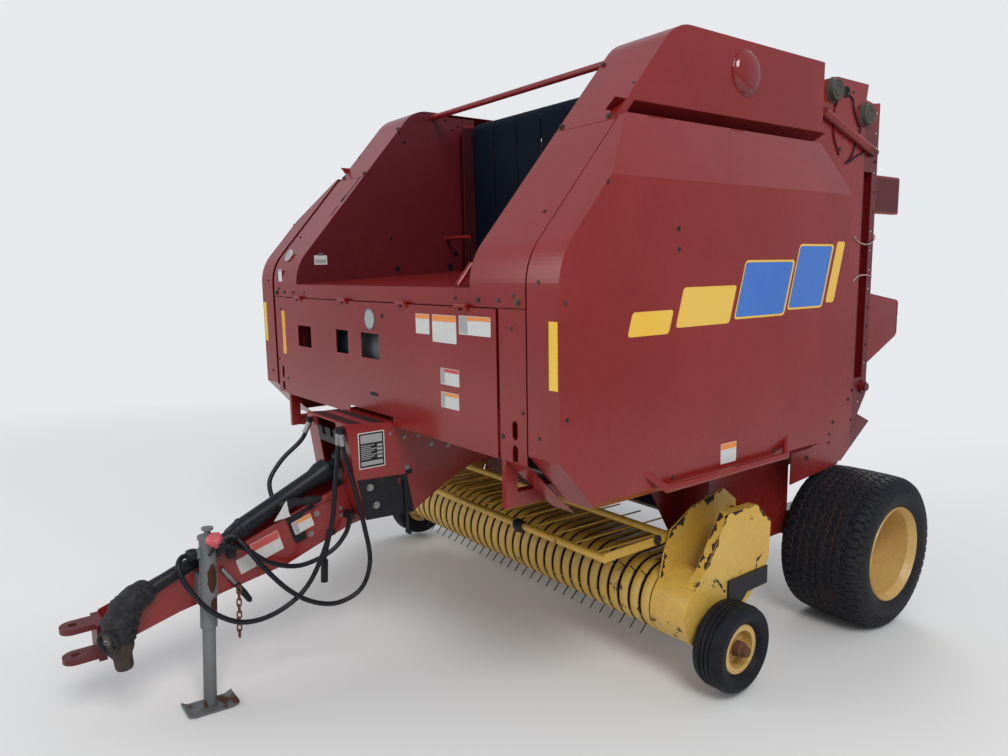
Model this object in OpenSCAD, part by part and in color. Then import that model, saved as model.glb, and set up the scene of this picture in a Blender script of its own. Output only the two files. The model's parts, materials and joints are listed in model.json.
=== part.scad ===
/* [Overall] */
// Nose-down angle that the baler stands at on its jack
park_pitch = 3; // [2:0.25:4]
// Gap between the bale chamber and a tower's inner wall
tower_gap = 75; // [60:1:90]
// Width of each tower's front strip
strip_w = 345; // [300:5:380]
// Width of the curved flange that each side shield wraps round the front
flange_w = 190; // [150:5:230]
// Sheet thickness of the panels
sheet = 4; // [3:0.5:6]
// Gap between a moving panel and the fixed ones
panel_gap = 6; // [5.5:0.5:9]

/* [Towers and caps] */
// Height of the hinge seam between the front door and the platform
seam_z = 1884; // [1800:2:1920]
// Height where the front strip bends back
bend_z = 2059; // [2040:2:2120]
// Slope of the front strips from level
slope_a = 49.3; // [47:0.1:52]
// Height of the seam between a tower's front and its cap
cap_seam_z = 2596; // [2580:2:2604]
// Height of the flat top of a tower
cap_top_z = 3015; // [2990:5:3040]
// Height of the lower edge of a cap's side
cap_side_z = 2680; // [2660:2:2700]
// Rear end of a cap's side
cap_tail_y = 1943; // [1900:1:1960]
// Rear end of a cap's top
cap_rear_y = 1590; // [1500:5:1600]
// Rear edge of the tower's inner walls
tower_rear_y = 1280; // [1240:2:1300]
// Radius of the tie tube between the towers
tie_r = 17; // [12:1:24]
// Diameter of the pressed dome on a cap
dome_d = 195; // [160:5:220]

/* [Side shields] */
// Height of a shield's lower edge
shield_low_z = 1135; // [1110:5:1180]
// Gap between a tower's front and the shield beside it
shield_gap = 16; // [12:1:22]
// Rear edge of the side shields
shield_rear_y = 1878; // [1820:2:1884]
// Height of a shield's upper edge
shield_top = 2613; // [2606:1:2620]
// Height of the crease in a shield
crease_z = 2355; // [2300:5:2400]
// How far a shield leans inward above its crease
lean_x = 150; // [130:2:160]
// Radius of the step rail's tube
rail_r = 15; // [11:1:18]

/* [Front door] */
// Half width of the front door
door_hw = 1050; // [1000:5:1056]
// Lower edge of the front door
door_low_z = 1300; // [1290:5:1340]
// Radius of the door hinge pins
door_pin_r = 6; // [4:0.5:8]

/* [Bale chamber] */
// Half width of the bale chamber
chamber_hw = 800; // [780:2:805]
// Number of belts side by side
belt_n = 7; // [5:1:8]
// Width of one belt
belt_w = 216; // [150:2:220]
// Thickness of a belt
belt_t = 6; // [5:1:9]
// Radius of the belt rollers
roller_r = 50; // [40:1:56]

/* [Tailgate] */
// Distance of the tailgate hinge from the front door
gate_y = 1700; // [1680:5:1720]
// Height of the tailgate hinge
gate_z = 2790; // [2770:5:2810]
// Radius of the tailgate hinge pins
gate_pin_r = 20; // [16:1:24]
// Half width over the tailgate's side sheets
gate_hw = 1100; // [1080:5:1130]
// Rear edge of the tailgate
gate_rear_y = 2716; // [2700:2:2730]
// Height of the tailgate's rear lower corner
gate_low_z = 1250; // [1230:5:1270]
// Diameter of the holes in the post flanges
post_hole_d = 18; // [12:1:24]

/* [Running gear] */
// Distance of the axle from the front door
axle_y = 2410; // [2400:5:2440]
// Outer radius of the main tyres
tyre_r = 430; // [410:2:440]
// Width of the main tyres
tyre_w = 480; // [420:5:490]
// Thickness of the main tyres' casing
tyre_wall = 24; // [18:1:30]
// Outer radius of the main rims
rim_r = 266; // [250:2:280]
// Distance from the centre plane to the inner face of a main tyre
tyre_in = 1003; // [1003:1:1020]
// Radius of the wheel spindles
spindle_r = 30; // [24:1:36]

/* [Drawbar] */
// Half width of the drawbar
bar_hw = 75; // [70:1:80]
// Half width of the drawbar's box
box_hw = 220; // [200:5:240]
// Place of the hitch pin bore ahead of the front door
hitch_y = 1374; // [1340:2:1400]
// Radius of the hitch pin bore
hitch_r = 16.5; // [14:0.5:20]
// Thickness of the clevis ears
ear_t = 24; // [18:1:30]
// Top of the lower clevis ear
ear_low_z = 512; // [500:2:520]
// Clear height between the clevis ears
ear_gap = 104; // [80:2:110]
// Radius of the driveline's shield tube
pto_r = 42; // [36:1:43]

/* [Jack] */
// Distance of the jack ahead of the front door
jack_y = 880; // [840:5:920]
// Outer radius of the jack's sleeve
jack_r = 35; // [32:1:40]
// Radius of the jack's leg
leg_r = 27; // [22:1:29]
// Clearance between the leg and its sleeve
leg_gap = 0.5; // [0.3:0.1:1]

/* [Pickup] */
// Radius of the curved bands
band_r = 170; // [160:1:178]
// Number of bands
band_n = 31; // [25:1:35]
// Gap between two bands
band_gap = 18; // [14:1:24]
// Half width over the bands
band_hw = 1084; // [1060:2:1090]
// Distance of the reel's centre from the front door
reel_y = 1015; // [1005:1:1025]
// Height of the reel's centre
reel_z = 445; // [440:1:455]
// Radius of the tine tips
tine_r = 224; // [210:1:230]
// Number of tine bars
tine_bars = 4; // [3:1:5]
// Outer face of the pickup's end housings
house_x = 1285; // [1275:1:1290]
// Radius of the gauge wheels
gauge_r = 203; // [190:1:205]
// Width of the gauge wheels' tyres
gauge_w = 156; // [130:2:160]

/* [Hidden] */
$fn = 48;
maroon = [0.46, 0.10, 0.12];
darkred = [0.34, 0.05, 0.08];
ochre = [0.80, 0.62, 0.22];
cream = [0.90, 0.78, 0.50];
rubber = [0.07, 0.08, 0.10];
galv = [0.55, 0.58, 0.58];
black = [0.09, 0.09, 0.11];

tower_x = chamber_hw + tower_gap;
rail_x = chamber_hw + 100;
cyl_x = chamber_hw + 165;
strip_x = tower_x + strip_w;
shield_x = strip_x + flange_w;
axle_z = tyre_r;
slope_k = tan(slope_a);

ear_r = 48;
lamp_rear_y = 3050;
lamp_low_z = 1580;
// Middle of the parked length, from the clevis to the lamp plates
mid_y = (wy(-hitch_y - ear_r, ear_low_z + ear_gap + ear_t) + wy(lamp_rear_y, lamp_low_z)) / 2;
// Level body frame to the parked frame, turned about the axle
function wy(y, z) = axle_y + (y - axle_y) * cos(park_pitch) - (z - axle_z) * sin(park_pitch);
function wz(y, z) = axle_z + (y - axle_y) * sin(park_pitch) + (z - axle_z) * cos(park_pitch);
module parked() {
    translate([0, axle_y - mid_y, axle_z]) rotate([park_pitch, 0, 0]) translate([0, -axle_y, -axle_z])
        children();
}
// Extrudes a profile of (y, z) points across the machine
module across(x0, x1) {
    translate([x0, 0, 0]) rotate([90, 0, 90]) linear_extrude(x1 - x0) children();
}
module both() {
    children();
    mirror([1, 0, 0]) children();
}
module rod_x(x0, x1, y, z, r) {
    translate([x0, y, z]) rotate([0, 90, 0]) cylinder(h = x1 - x0, r = r);
}
module block(x0, x1, y0, y1, z0, z1) {
    translate([x0, y0, z0]) cube([x1 - x0, y1 - y0, z1 - z0]);
}
// A straight round bar between two points
module bar(a, b, r) {
    d = b - a;
    translate(a) rotate([0, acos(d[2] / norm(d)), atan2(d[1], d[0])]) cylinder(h = norm(d), r = r);
}
function rev(v) = [for (i = [len(v) - 1:-1:0]) v[i]];
function unit(v) = v / norm(v);
function nrm(a, b) = let (d = unit(b - a)) [-d[1], d[0]];
// A path moved sideways by d, mitred at its corners
function side(p, d) = [for (i = [0:len(p) - 1])
    let (m = nrm(p[max(i - 1, 0)], p[max(i, 1)]), n = i == len(p) - 1 ? m : nrm(p[i], p[i + 1]), s = m + n)
    p[i] + s * (2 * d / (s * s))];
module strip(p, t) {
    polygon(concat(p, rev(side(p, t))));
}
// Points of a fillet of radius r at corner b
function fil(a, b, c, r, n) = let (u = unit(a - b), v = unit(c - b), h = acos(u * v) / 2,
    q = b + unit(u + v) * r / sin(h), s = b + u * (r / tan(h)) - q, e = b + v * (r / tan(h)) - q,
    f = 180 - 2 * h) [for (k = [0:n]) q + (s * sin(f * (1 - k / n)) + e * sin(f * k / n)) / sin(f)];

// Side paths of the tower's front strip and of the shield's outer flange
cap_x = strip_x - 16;
cap_y = (cap_top_z - bend_z) / slope_k;
slope_y = (cap_seam_z - bend_z) / slope_k;
strip_path = concat([[0, seam_z]], fil([0, seam_z], [0, bend_z], [slope_y, cap_seam_z], 260, 12),
    [[slope_y, cap_seam_z]]);
cap_path = concat([[slope_y, cap_seam_z]], fil([slope_y, cap_seam_z], [cap_y, cap_top_z], [cap_rear_y, cap_top_z], 210, 8));
proud = 6;
shield_path = side(concat([[0, 1345]], fil([0, 1345], [0, bend_z], [slope_y, cap_seam_z], 260, 12),
    [[(shield_top - 8 - bend_z) / slope_k, shield_top - 8]]), proud);
shield_top_y = (shield_top - bend_z) / slope_k - proud / sin(slope_a);

module main_frame() color(maroon) parked() both() {
    // Side sheet of the bale chamber
    across(chamber_hw, chamber_hw + 8) polygon([[1310, 620], [1140, 900], [1140, 2940], [gate_y + 60, 2940],
        [gate_y + 60, gate_z - 70], [1880, gate_z - 260], [1880, 720], [1800, 620]]);
    // Tower stiffening box that ties the chamber to the inner wall
    block(chamber_hw + 8, tower_x - sheet, 1180, 1260, 1300, 2900);
    // Lower longitudinal rail and riser plate
    block(rail_x, rail_x + 80, 1390, axle_y - 50, 500, 620);
    block(rail_x, rail_x + 80, axle_y - 50, axle_y + 50, axle_z + 50, 620);
    across(rail_x + 68, rail_x + 80) polygon([[1400, 620], [1400, 1150], [1880, 1150], [2120, 900], [2120, 620]]);
    block(chamber_hw + 8, rail_x + 68, 1400, 1412, 620, 1140);
    block(chamber_hw + 8, rail_x + 68, 1800, 1812, 620, 1140);
    // Pickup pivot stub on the riser
    rod_x(rail_x + 80, band_hw + 36, pivot_y, pivot_z, 22);
    // Tailgate hinge boss
    difference() {
        rod_x(chamber_hw + 8, chamber_hw + 80, gate_y, gate_z, 45);
        rod_x(chamber_hw, chamber_hw + 90, gate_y, gate_z, gate_pin_r + 0.05);
    }
    // Bracket and pin for the tailgate cylinder
    block(chamber_hw + 8, cyl_x - 37, cyl_lo[0] - 35, cyl_lo[0] + 35, cyl_lo[1] - 35, cyl_lo[1] + 35);
    rod_x(cyl_x - 37, cyl_x + 20, cyl_lo[0], cyl_lo[1], cyl_pin_r);
}

module axle() color(darkred) parked() {
    block(-970, 970, axle_y - 50, axle_y + 50, axle_z - 50, axle_z + 50);
    both() rod_x(970, tyre_in + 140, axle_y, axle_z, spindle_r);
}

bar_low = [[-1270, 527], [-984, 606], [-500, 697], [-188, 811], [93, 862]];
bar_top = [[-1270, 648], [-790, 812], [-266, 1000], [93, 1120]];
box_top = [[-250, 1338], [65, 1312], [1060, 1294]];
module drawbar() color(maroon) parked() {
    both() across(bar_hw - 6, bar_hw) polygon(concat(bar_low, rev(bar_top)));
    difference() {
        across(-bar_hw + 6, bar_hw - 6) {
            strip(bar_low, 6);
            strip([for (p = bar_top) p - [0, 76]], 6);
        }
        block(-bar_hw, bar_hw, -1400, -1270, 400, 800);
    }
    both() across(box_hw - 6, box_hw) polygon(concat(box_top, [[1060, 1100], [447, 1041],
        [291, 974], [93, 862], [-168, 872], [-215, 1075]]));
    across(-box_hw + 6, box_hw - 6) strip(box_top, -6);
    both() across(bar_hw, box_hw - 6) polygon([[-215, 1075], [-168, 872], [93, 862], [93, 870], [-161, 880], [-207, 1077]]);
    both() across(110, box_hw - 6) polygon([[-215, 1075], [-207, 1077], [-241, 1334], [-249.5, 1334]]);
    block(-box_hw + 6, box_hw - 6, 1052, 1060, 1105, 1291);
    // Cross member and outriggers that carry the towers' fronts
    block(-strip_x + 135, strip_x - 135, 1060, 1140, 1040, 1160);
    both() block(strip_x - 180, strip_x - 135, 60, 1060, 1100, 1160);
}

module drawbar_plates() color(black) parked() {
    across(box_hw, box_hw + 6) difference() {
        polygon([[-203, 1066], [55, 1053], [93, 859], [-168, 870]]);
        translate([10, 1010]) square([14, 34]);
    }
    across(bar_hw, bar_hw + 5) polygon([[-420, 905], [-250, 960], [-230, 850], [-400, 790]]);
    block(box_hw, box_hw + 10, 56, 84, 1054, 1072);
    // Hose fittings on the box and clips on the drawbar
    for (x = [-165, 165, 195]) {
        across(x - 10, x + 10) polygon([[-262, 1296], [-262, 1316], [-247.1, 1316], [-244.44, 1296]]);
        translate([x, -262, 1290]) cylinder(h = 30, r = 13);
    }
    block(bar_hw, bar_hw + 42, -778, -744, 800, 842);
    block(bar_hw, bar_hw + 62, -216, -184, 862, 890);
    block(-bar_hw - 40, -bar_hw, -510, -470, 900, 955);
    // Notched plate across the mouth of the box
    difference() {
        across(-110, 110) polygon([[-233.6, 1215], [-225.6, 1215], [-235.4, 1290], [-243.4, 1290]]);
        for (x = [-45, 45]) block(x - 16, x + 16, -260, -200, 1250, 1300);
    }
    // Pin hung below the drawbar in its lug, with a sleeve and a cross pin
    block(bar_hw, bar_hw + 20, -300, -270, 788, 812);
    bar([bar_hw + 11, -288, 800], [bar_hw + 17, -330, 670], 7);
    bar([bar_hw + 17, -330, 676], [bar_hw + 19, -337, 570], 17);
    rod_x(bar_hw - 16, bar_hw + 50, -331, 660, 5);
    // Latch rod at the rear of the side plate
    rod_x(box_hw + 6, box_hw + 26, 37, 1018, 8);
    bar([box_hw + 19, 37, 1018], [box_hw + 19, 47, 770], 7);
    rod_x(box_hw + 4, box_hw + 34, 47, 770, 11);
}

module hitch_clevis() color(darkred) parked() {
    top = ear_low_z + ear_gap;
    difference() {
        union() {
            for (z = [ear_low_z - ear_t, top]) {
                block(-ear_r, ear_r, -hitch_y, -1290, z, z + ear_t);
                translate([0, -hitch_y, z]) cylinder(h = ear_t, r = ear_r);
            }
            block(-bar_hw, bar_hw, -1300, -1270, ear_low_z - ear_t, top + ear_t);
        }
        translate([0, -hitch_y, ear_low_z - 60]) cylinder(h = 300, r = hitch_r);
    }
}

pto_a = [-10, -236, 1092.5];
pto_b = [40, -695, 901];
pto_e = [75, -1010, 770];
function bar_top_z(y) = 1000 + (y + 266) * 120 / 359;
module driveline() color(black) parked() {
    // Gearbox on the tongue's upper plate, with its input shaft
    across(-62, 62) polygon([[-200, bar_top_z(-200) - 69.5], [-200, 1140], [-150, 1210],
        [60, 1210], [60, bar_top_z(60) - 69.5]]);
    bar([-15, -190, 1112], pto_a, 24);
    bar(pto_a, pto_b, pto_r);
    bar(pto_b, pto_e, 27);
    translate([100, -1045, 790]) sphere(r = 42);
    bar(pto_e, [100, -1045, 790], 26);
    bar([100, -1045, 790], [134, -1085, 745], 34);
    bar([134, -1085, 755], [140, -1190, 590], 54);
    bar([140, -1180, 605], [145, -1240, 500], 34);
}

jy = wy(-jack_y, 700) - mid_y;
jack_x = bar_hw + 4 + jack_r + 30;
sleeve_top = 752;
sleeve_low = 365;
module jack_sleeve() color(galv) {
    jack_tube();
    // Clips for the hoses at the top of the sleeve
    parked() block(jack_x - 14, jack_x + 14, -946, -903, 850, 886);
    parked() block(jack_x - 14, jack_x + 14, -839, -800, 850, 886);
}
module jack_tube() translate([jack_x, jy, 0]) {
    difference() {
        translate([0, 0, sleeve_low]) cylinder(h = sleeve_top - sleeve_low, r = jack_r);
        translate([0, 0, sleeve_low - 1]) cylinder(h = sleeve_top - sleeve_low - 11, r = leg_r + leg_gap);
    }
    translate([0, 0, sleeve_top]) cylinder(h = 12, r = jack_r + 6);
    translate([0, 0, sleeve_top + 12]) cylinder(h = 26, r = 14);
    translate([0, 0, sleeve_top + 38]) cylinder(h = 10, r = 24);
    difference() {
        block(-jack_x + bar_hw, 0, -40, 40, 490, 590);
        translate([0, 0, 480]) cylinder(h = 120, r = jack_r - 1);
    }
}
module jack_leg() color(galv) translate([jack_x, jy, 0]) {
    translate([0, 0, 10]) cylinder(h = 530, r = leg_r);
    block(-60, 60, -80, 80, 0, 10);
    across(-60, 60) polygon([[80, 0], [106, 14], [106, 24], [80, 10]]);
    across(-60, 60) polygon([[-80, 0], [-106, 14], [-106, 24], [-80, 10]]);
}

module link() {
    // A chain link, long side upright
    for (s = [-1, 1]) translate([0, 0, s * 9]) rotate([90, 0, 0]) rotate([0, 0, s > 0 ? 0 : 180])
        rotate_extrude(angle = 180) translate([9, 0]) circle(r = 3.5);
    for (s = [-1, 1]) translate([s * 9, 0, -9]) cylinder(h = 18, r = 3.5);
}
chain_n = 8;
chain_x = jack_x - 22;
module safety_chain() color([0.35, 0.18, 0.10]) {
    parked() rod_x(bar_hw, chain_x + 14, -745, 664, 4);
    for (i = [0:chain_n - 1]) translate([chain_x, wy(-745, 664) - mid_y, wz(-745, 664) - 10.3 - i * 28.7])
        rotate([0, 0, (i + 1) % 2 * 90]) link();
}

floor_front = [40, 1962];
floor_rear = [1140, 2018];
door_pin_y = -17;
module platform() color(maroon) parked() {
    inner = tower_x - sheet;
    // Front rail, then the floor that rises to the rear
    across(-inner, inner) strip([[0, seam_z], [0, 1958], floor_front, floor_rear], -sheet);
    both() block(tower_x, strip_x - 2, sheet, sheet + 40, seam_z, seam_z + 36);
    // Twine shelf and its rear wall
    across(-inner, inner) polygon([[24, 1496], [434, 1496], [434, 1976], [430, 1976], [430, 1500], [24, 1500]]);
    // Door hinges: a pin in a knuckle on a leaf
    for (x = hinge_at) {
        rod_x(x - 40, x + 40, door_pin_y, seam_z + 2, door_pin_r);
        rod_x(x - 13, x + 13, door_pin_y, seam_z + 2, door_pin_r + 3);
        block(x - 13, x + 13, door_pin_y, abs(x) > inner ? 0 : 2, seam_z + 2, seam_z + 10);
    }
}
hinge_at = [-830, -250, 350, 830];

module tower_walls() color(darkred) parked() both() {
    across(tower_x - sheet, tower_x) polygon(concat([[20, 1480], [20, seam_z - 4], [0, seam_z - 4]],
        strip_path, cap_path, [[1069, cap_top_z], [1073, cap_top_z - 18],
        [tower_rear_y, cap_top_z - 18], [tower_rear_y, 1180], [1140, 1160],
        [1140, 1294], [434, 1294], [434, 1480]]));
}

module tower_fronts() color(maroon) parked() both() {
    across(tower_x, strip_x) strip(concat([for (i = [0:len(strip_path) - 2]) strip_path[i]],
        [strip_path[len(strip_path) - 1] - 3 * [cos(slope_a), sin(slope_a)]]), -sheet);
    // Fixed strip beside the door with two round-ended slots, then its tail that slopes back
    difference() {
        across(door_hw + panel_gap, strip_x) strip([[0, door_low_z], [0, seam_z]], -sheet);
        for (z = [1425, 1332]) for (s = [-20, 20]) translate([1150, -1, z + s]) rotate([-90, 0, 0]) cylinder(h = 12, r = 17);
        for (z = [1425, 1332]) block(1133, 1167, -1, 11, z - 20, z + 20);
    }
    across(1090, strip_x) strip([[233, 1071], [0, door_low_z]], -sheet);
    block(strip_x - 160, strip_x - 135, sheet, 60, 1100, seam_z);
}
module tower_rods() color(maroon) parked() {
    // Tie tube between the towers and the rods over the platform
    rod_x(-tower_x + sheet, tower_x - sheet, 960, cap_top_z - 33, tie_r);
    rod_x(-tower_x + sheet, -tower_x + 260, 1040, 2230, 12);
    bar([tower_x - 18, 560, 2200], [tower_x - 250, 190, 1982.6], 14);
    // Rod under each cap that the side shield hangs on, with its arms
    both() translate([hinge_x, 500, hinge_z]) rotate([-90, 0, 0]) cylinder(h = 770, r = shield_pin_r);
    both() for (y = [500, 880, 1262]) translate([0, y + 8, 0]) rotate([90, 0, 0]) linear_extrude(8)
        polygon([[tower_x, 2360], [tower_x, 2500], [hinge_x - 10, hinge_z - 3], [hinge_x + 3, hinge_z - 3],
            [hinge_x + 3, hinge_z - 10], [hinge_x - 30, hinge_z - 26]]);
}

cap_edge = 45;
dome_h = 30;
dome_ball = (dome_d * dome_d / 4 + dome_h * dome_h) / (2 * dome_h);
module caps() color(maroon) parked() both() {
    side_y = (cap_side_z - bend_z) / slope_k + cap_edge;
    // Front and top in one bent skin, flush with the tower's front below it
    across(tower_x, cap_x) strip(concat(cap_path, [[cap_rear_y, cap_top_z]]), -sheet);
    block(tower_x, cap_x, cap_rear_y - sheet, cap_rear_y, cap_top_z - 40, cap_top_z);
    // Side sheet that runs on past the hinge of the tailgate, with its edges turned in
    across(cap_x - sheet, cap_x) polygon(concat(cap_path, [[cap_tail_y, cap_top_z], [cap_tail_y, cap_side_z],
        [side_y, cap_side_z], [slope_y + cap_edge, cap_seam_z]]));
    block(cap_x - 38, cap_x, cap_rear_y - sheet, cap_tail_y, cap_top_z - sheet, cap_top_z);
    block(cap_x - 78, cap_x, side_y, cap_tail_y, cap_side_z, cap_side_z + sheet);
    block(cap_x - 38, cap_x, cap_tail_y - sheet, cap_tail_y, cap_side_z, cap_top_z);
    // Pressed dome
    translate([cap_x, 1301, 2878]) rotate([0, 90, 0]) intersection() {
        translate([0, 0, dome_h - dome_ball]) sphere(r = dome_ball);
        cylinder(h = dome_h + 5, r = dome_d / 2 + 5);
    }
}

belt_pitch = (2 * chamber_hw - 12) / belt_n;
module belts(p) {
    for (i = [0:belt_n - 1]) translate([(i - (belt_n - 1) / 2) * belt_pitch, 0, 0])
        across(-belt_w / 2, belt_w / 2) strip(p, belt_t);
}
front_at = [[1370, 760], [1300, 1030], [1268, 2900], [1560, 2908]];
gate_at = [[2000, 2880], [2207, 2935], [2550, 2845], [2600, 2740], [2590, 1500], [2300, 930], [2010, 905]];
belt_gap = 0.8;
// Belt line outside a row of rollers, rounded where it turns
function belt_path(c) = let (q = side(c, roller_r + belt_gap)) concat([q[0]],
    [for (i = [1:len(q) - 2]) for (v = fil(q[i - 1], q[i], q[i + 1], roller_r + belt_gap, 5)) v], [q[len(q) - 1]]);
module front_belts() color(rubber) parked() belts(belt_path(front_at));

module front_rollers() color(galv) parked() for (p = front_at) rod_x(-chamber_hw, chamber_hw, p[0], p[1], roller_r);

module twine_balls() {
    parked() color([0.10, 0.25, 0.50]) rod_x(-420, -160, 180, 1500 + 135, 135);
    parked() color([0.50, 0.50, 0.50]) rod_x(-110, 160, 180, 1500 + 135, 135);
}

module front_door() color(maroon) parked() {
    difference() {
        across(-door_hw, door_hw) strip([[45, door_low_z], [-8, door_low_z], [-8, seam_z - 4]], -sheet);
        block(-866, -683, -20, 20, 1605, 1725);
        block(-358, -217, -20, 20, 1608, 1729);
        block(-72, 115, -20, 20, 1605, 1729);
        // Room for the drawbar's box when the door swings
        block(-box_hw - 8, box_hw + 8, -20, 60, door_low_z - 5, 1342);
    }
    for (x = hinge_at) for (s = [-1, 1]) difference() {
        union() {
            rod_x(x + s * 27 - 13, x + s * 27 + 13, door_pin_y, seam_z + 2, door_pin_r + 3);
            block(x + s * 27 - 13, x + s * 27 + 13, door_pin_y, -7, seam_z - 18, seam_z - 5);
        }
        rod_x(x - 50, x + 50, door_pin_y, seam_z + 2, door_pin_r + 0.05);
    }
}

hinge_x = shield_x - lean_x - 15;
hinge_z = shield_top - 16;
shield_pin_r = 8;
shield_side = [[shield_x - 30, shield_low_z], [shield_x, shield_low_z + 30], [shield_x, crease_z],
    [shield_x - lean_x, shield_top], [hinge_x, shield_top]];
// A profile of (x, z) points run along the machine
module along(y0, y1) {
    translate([0, y1, 0]) rotate([90, 0, 0]) linear_extrude(y1 - y0) children();
}
module shield() {
    // Outer skin, upright below the crease and leaning inward above it
    intersection() {
        across(shield_x - 200, shield_x) polygon(concat([[180, shield_low_z]], shield_path,
            [[shield_top_y, shield_top], [shield_rear_y - 39, shield_top], [shield_rear_y, 2400], [shield_rear_y, 1300],
            [shield_rear_y - 245, shield_low_z]]));
        along(-100, shield_rear_y + 50) strip(shield_side, sheet);
    }
    // Front flange round the corner
    intersection() {
        across(strip_x + shield_gap, shield_x) strip(concat([[180, shield_low_z]], shield_path), -sheet);
        along(-100, 700) polygon(concat([[strip_x, shield_low_z - 20], [shield_x - 50, shield_low_z - 20]], shield_side,
            [[strip_x, shield_top]]));
    }
    // Hinge knuckles under the top lip
    for (y = [600, 1120]) difference() {
        union() {
            translate([hinge_x, y, hinge_z]) rotate([-90, 0, 0]) cylinder(h = 90, r = shield_pin_r + 6);
            block(hinge_x - 6, hinge_x + 20, y, y + 90, hinge_z + shield_pin_r + 2, hinge_z + 14);
        }
        translate([hinge_x, y - 5, hinge_z]) rotate([-90, 0, 0]) cylinder(h = 100, r = shield_pin_r + 0.05);
    }
    // Step rail
    for (m = [0, 1]) translate([shield_x + 40, m ? 1330 : 520, 1165]) {
        bar([0, 0, 0], [-62, m ? 100 : -100, 86], rail_r);
        sphere(r = rail_r + 0.5);
    }
    bar([shield_x + 40, 520, 1165], [shield_x + 40, 1330, 1165], rail_r);
}
module shield_left() color(maroon) parked() shield();
module shield_right() color(maroon) parked() mirror([1, 0, 0]) shield();

gate_out = [[1950, 832], [2430, 868], [gate_rear_y, gate_low_z], [gate_rear_y, 2926], [2640, 2916], [2560, 2926],
    [2578, 3010], [2250, 3010], [1640, 2860], [1640, 2700], [1960, 2400]];
gate_in = [[1900, 820], [2420, 868], [gate_rear_y - 40, gate_low_z], [gate_rear_y - 40, 2900], [2250, 3000],
    [1640, 2860], [1640, 2730], [1760, 2690], [1900, 2500]];
// Bearings on the tailgate's outer face: y, z, housing radius, hub radius
gate_bearings = [[2207, 2935, 52, 30], [2550, 2845, 52, 30], [2673, 1300, 40, 24]];
module gate_frame() color(maroon) parked() {
    both() {
        across(chamber_hw + 90, chamber_hw + 98) polygon(gate_in);
        rod_x(chamber_hw + 12, chamber_hw + 90, gate_y, gate_z, gate_pin_r);
        // Lug beside the cylinder's rod eye
        rod_x(cyl_x + 18.3, cyl_x + 24, cyl_hi[0], cyl_hi[1], 20);
        across(cyl_x + 21, cyl_x + 33) polygon([[cyl_hi[0] - 35, cyl_hi[1] - 30], [cyl_hi[0] - 35, cyl_hi[1] + 40],
            [cyl_hi[0] + 120, cyl_hi[1] + 60], [cyl_hi[0] + 120, cyl_hi[1] - 30]]);
        block(chamber_hw + 98, gate_hw - 6, cyl_hi[0] + 100, cyl_hi[0] + 120, cyl_hi[1] - 30, cyl_hi[1] + 60);
        // Outer sheet, its turned-in top edge and the post behind it, with a row of holes along the rear flange
        difference() {
            union() {
                across(gate_hw - 6, gate_hw) polygon(gate_out);
                block(gate_hw - 46, gate_hw, 2250, 2578, 3004, 3010);
                block(chamber_hw + 98, gate_hw - 6, gate_rear_y - 66, gate_rear_y - 60, gate_low_z, 2900);
            }
            block(gate_hw - 46, gate_hw + 1, gate_rear_y - 150, gate_rear_y - 50, 1354, 2546);
            for (z = [1440:110:2890]) rod_x(gate_hw - 10, gate_hw + 1, gate_rear_y - 25, z, post_hole_d / 2);
            for (p = [[2639, 1213], [2560, 1112]]) rod_x(gate_hw - 10, gate_hw + 1, p[0], p[1], post_hole_d / 2);
            rod_x(gate_hw - 10, gate_hw + 1, 2341, 2942, 20);
        }
        // Channel pressed into the outer sheet in front of the flange
        difference() {
            block(gate_hw - 46, gate_hw, gate_rear_y - 150, gate_rear_y - 50, 1354, 2546);
            block(gate_hw - 40, gate_hw + 1, gate_rear_y - 144, gate_rear_y - 56, 1360, 2540);
        }
        // Bearings and the brace tube on the outer face
        for (p = gate_bearings) {
            rod_x(gate_hw - 3, gate_hw + 12, p[0], p[1], p[2]);
            rod_x(gate_hw - 3, gate_hw + 30, p[0], p[1], p[3]);
        }
        bar([gate_hw + 16, 2100, 2815], [gate_hw + 16, 2650, 2645], 24);
        // End plates of the rear ramp
        across(gate_hw - 6, gate_hw) polygon([[2440, 885], [2640, 1137], [2776, 1079], [2468, 880]]);
    }
    block(-chamber_hw - 90, chamber_hw + 90, gate_rear_y - 60, gate_rear_y, 2830, 2900);
    block(-chamber_hw - 90, chamber_hw + 90, 2385, 2440, 876, 930);
    across(-gate_hw + 3, gate_hw - 3) strip([[2468, 881], [2774, 1079]], 4);
    across(-gate_hw + 3, gate_hw - 3) strip([[2640, 1136], [2774, 1080]], -4);
}
module gate_rollers() color(galv) parked()
    for (p = gate_at) rod_x(-chamber_hw - 90, chamber_hw + 90, p[0], p[1], roller_r);
module gate_belts() color(rubber) parked() belts(belt_path(gate_at));

module lamp_brackets() color(maroon) parked() both() {
    block(gate_hw - 60, gate_hw - 54, gate_rear_y - 60, gate_rear_y + 300, 2325, 2530);
    across(gate_hw - 40, gate_hw) polygon([[gate_rear_y, 1440], [gate_rear_y, 1850], [lamp_rear_y, 1800], [lamp_rear_y, lamp_low_z]]);
}

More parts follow.
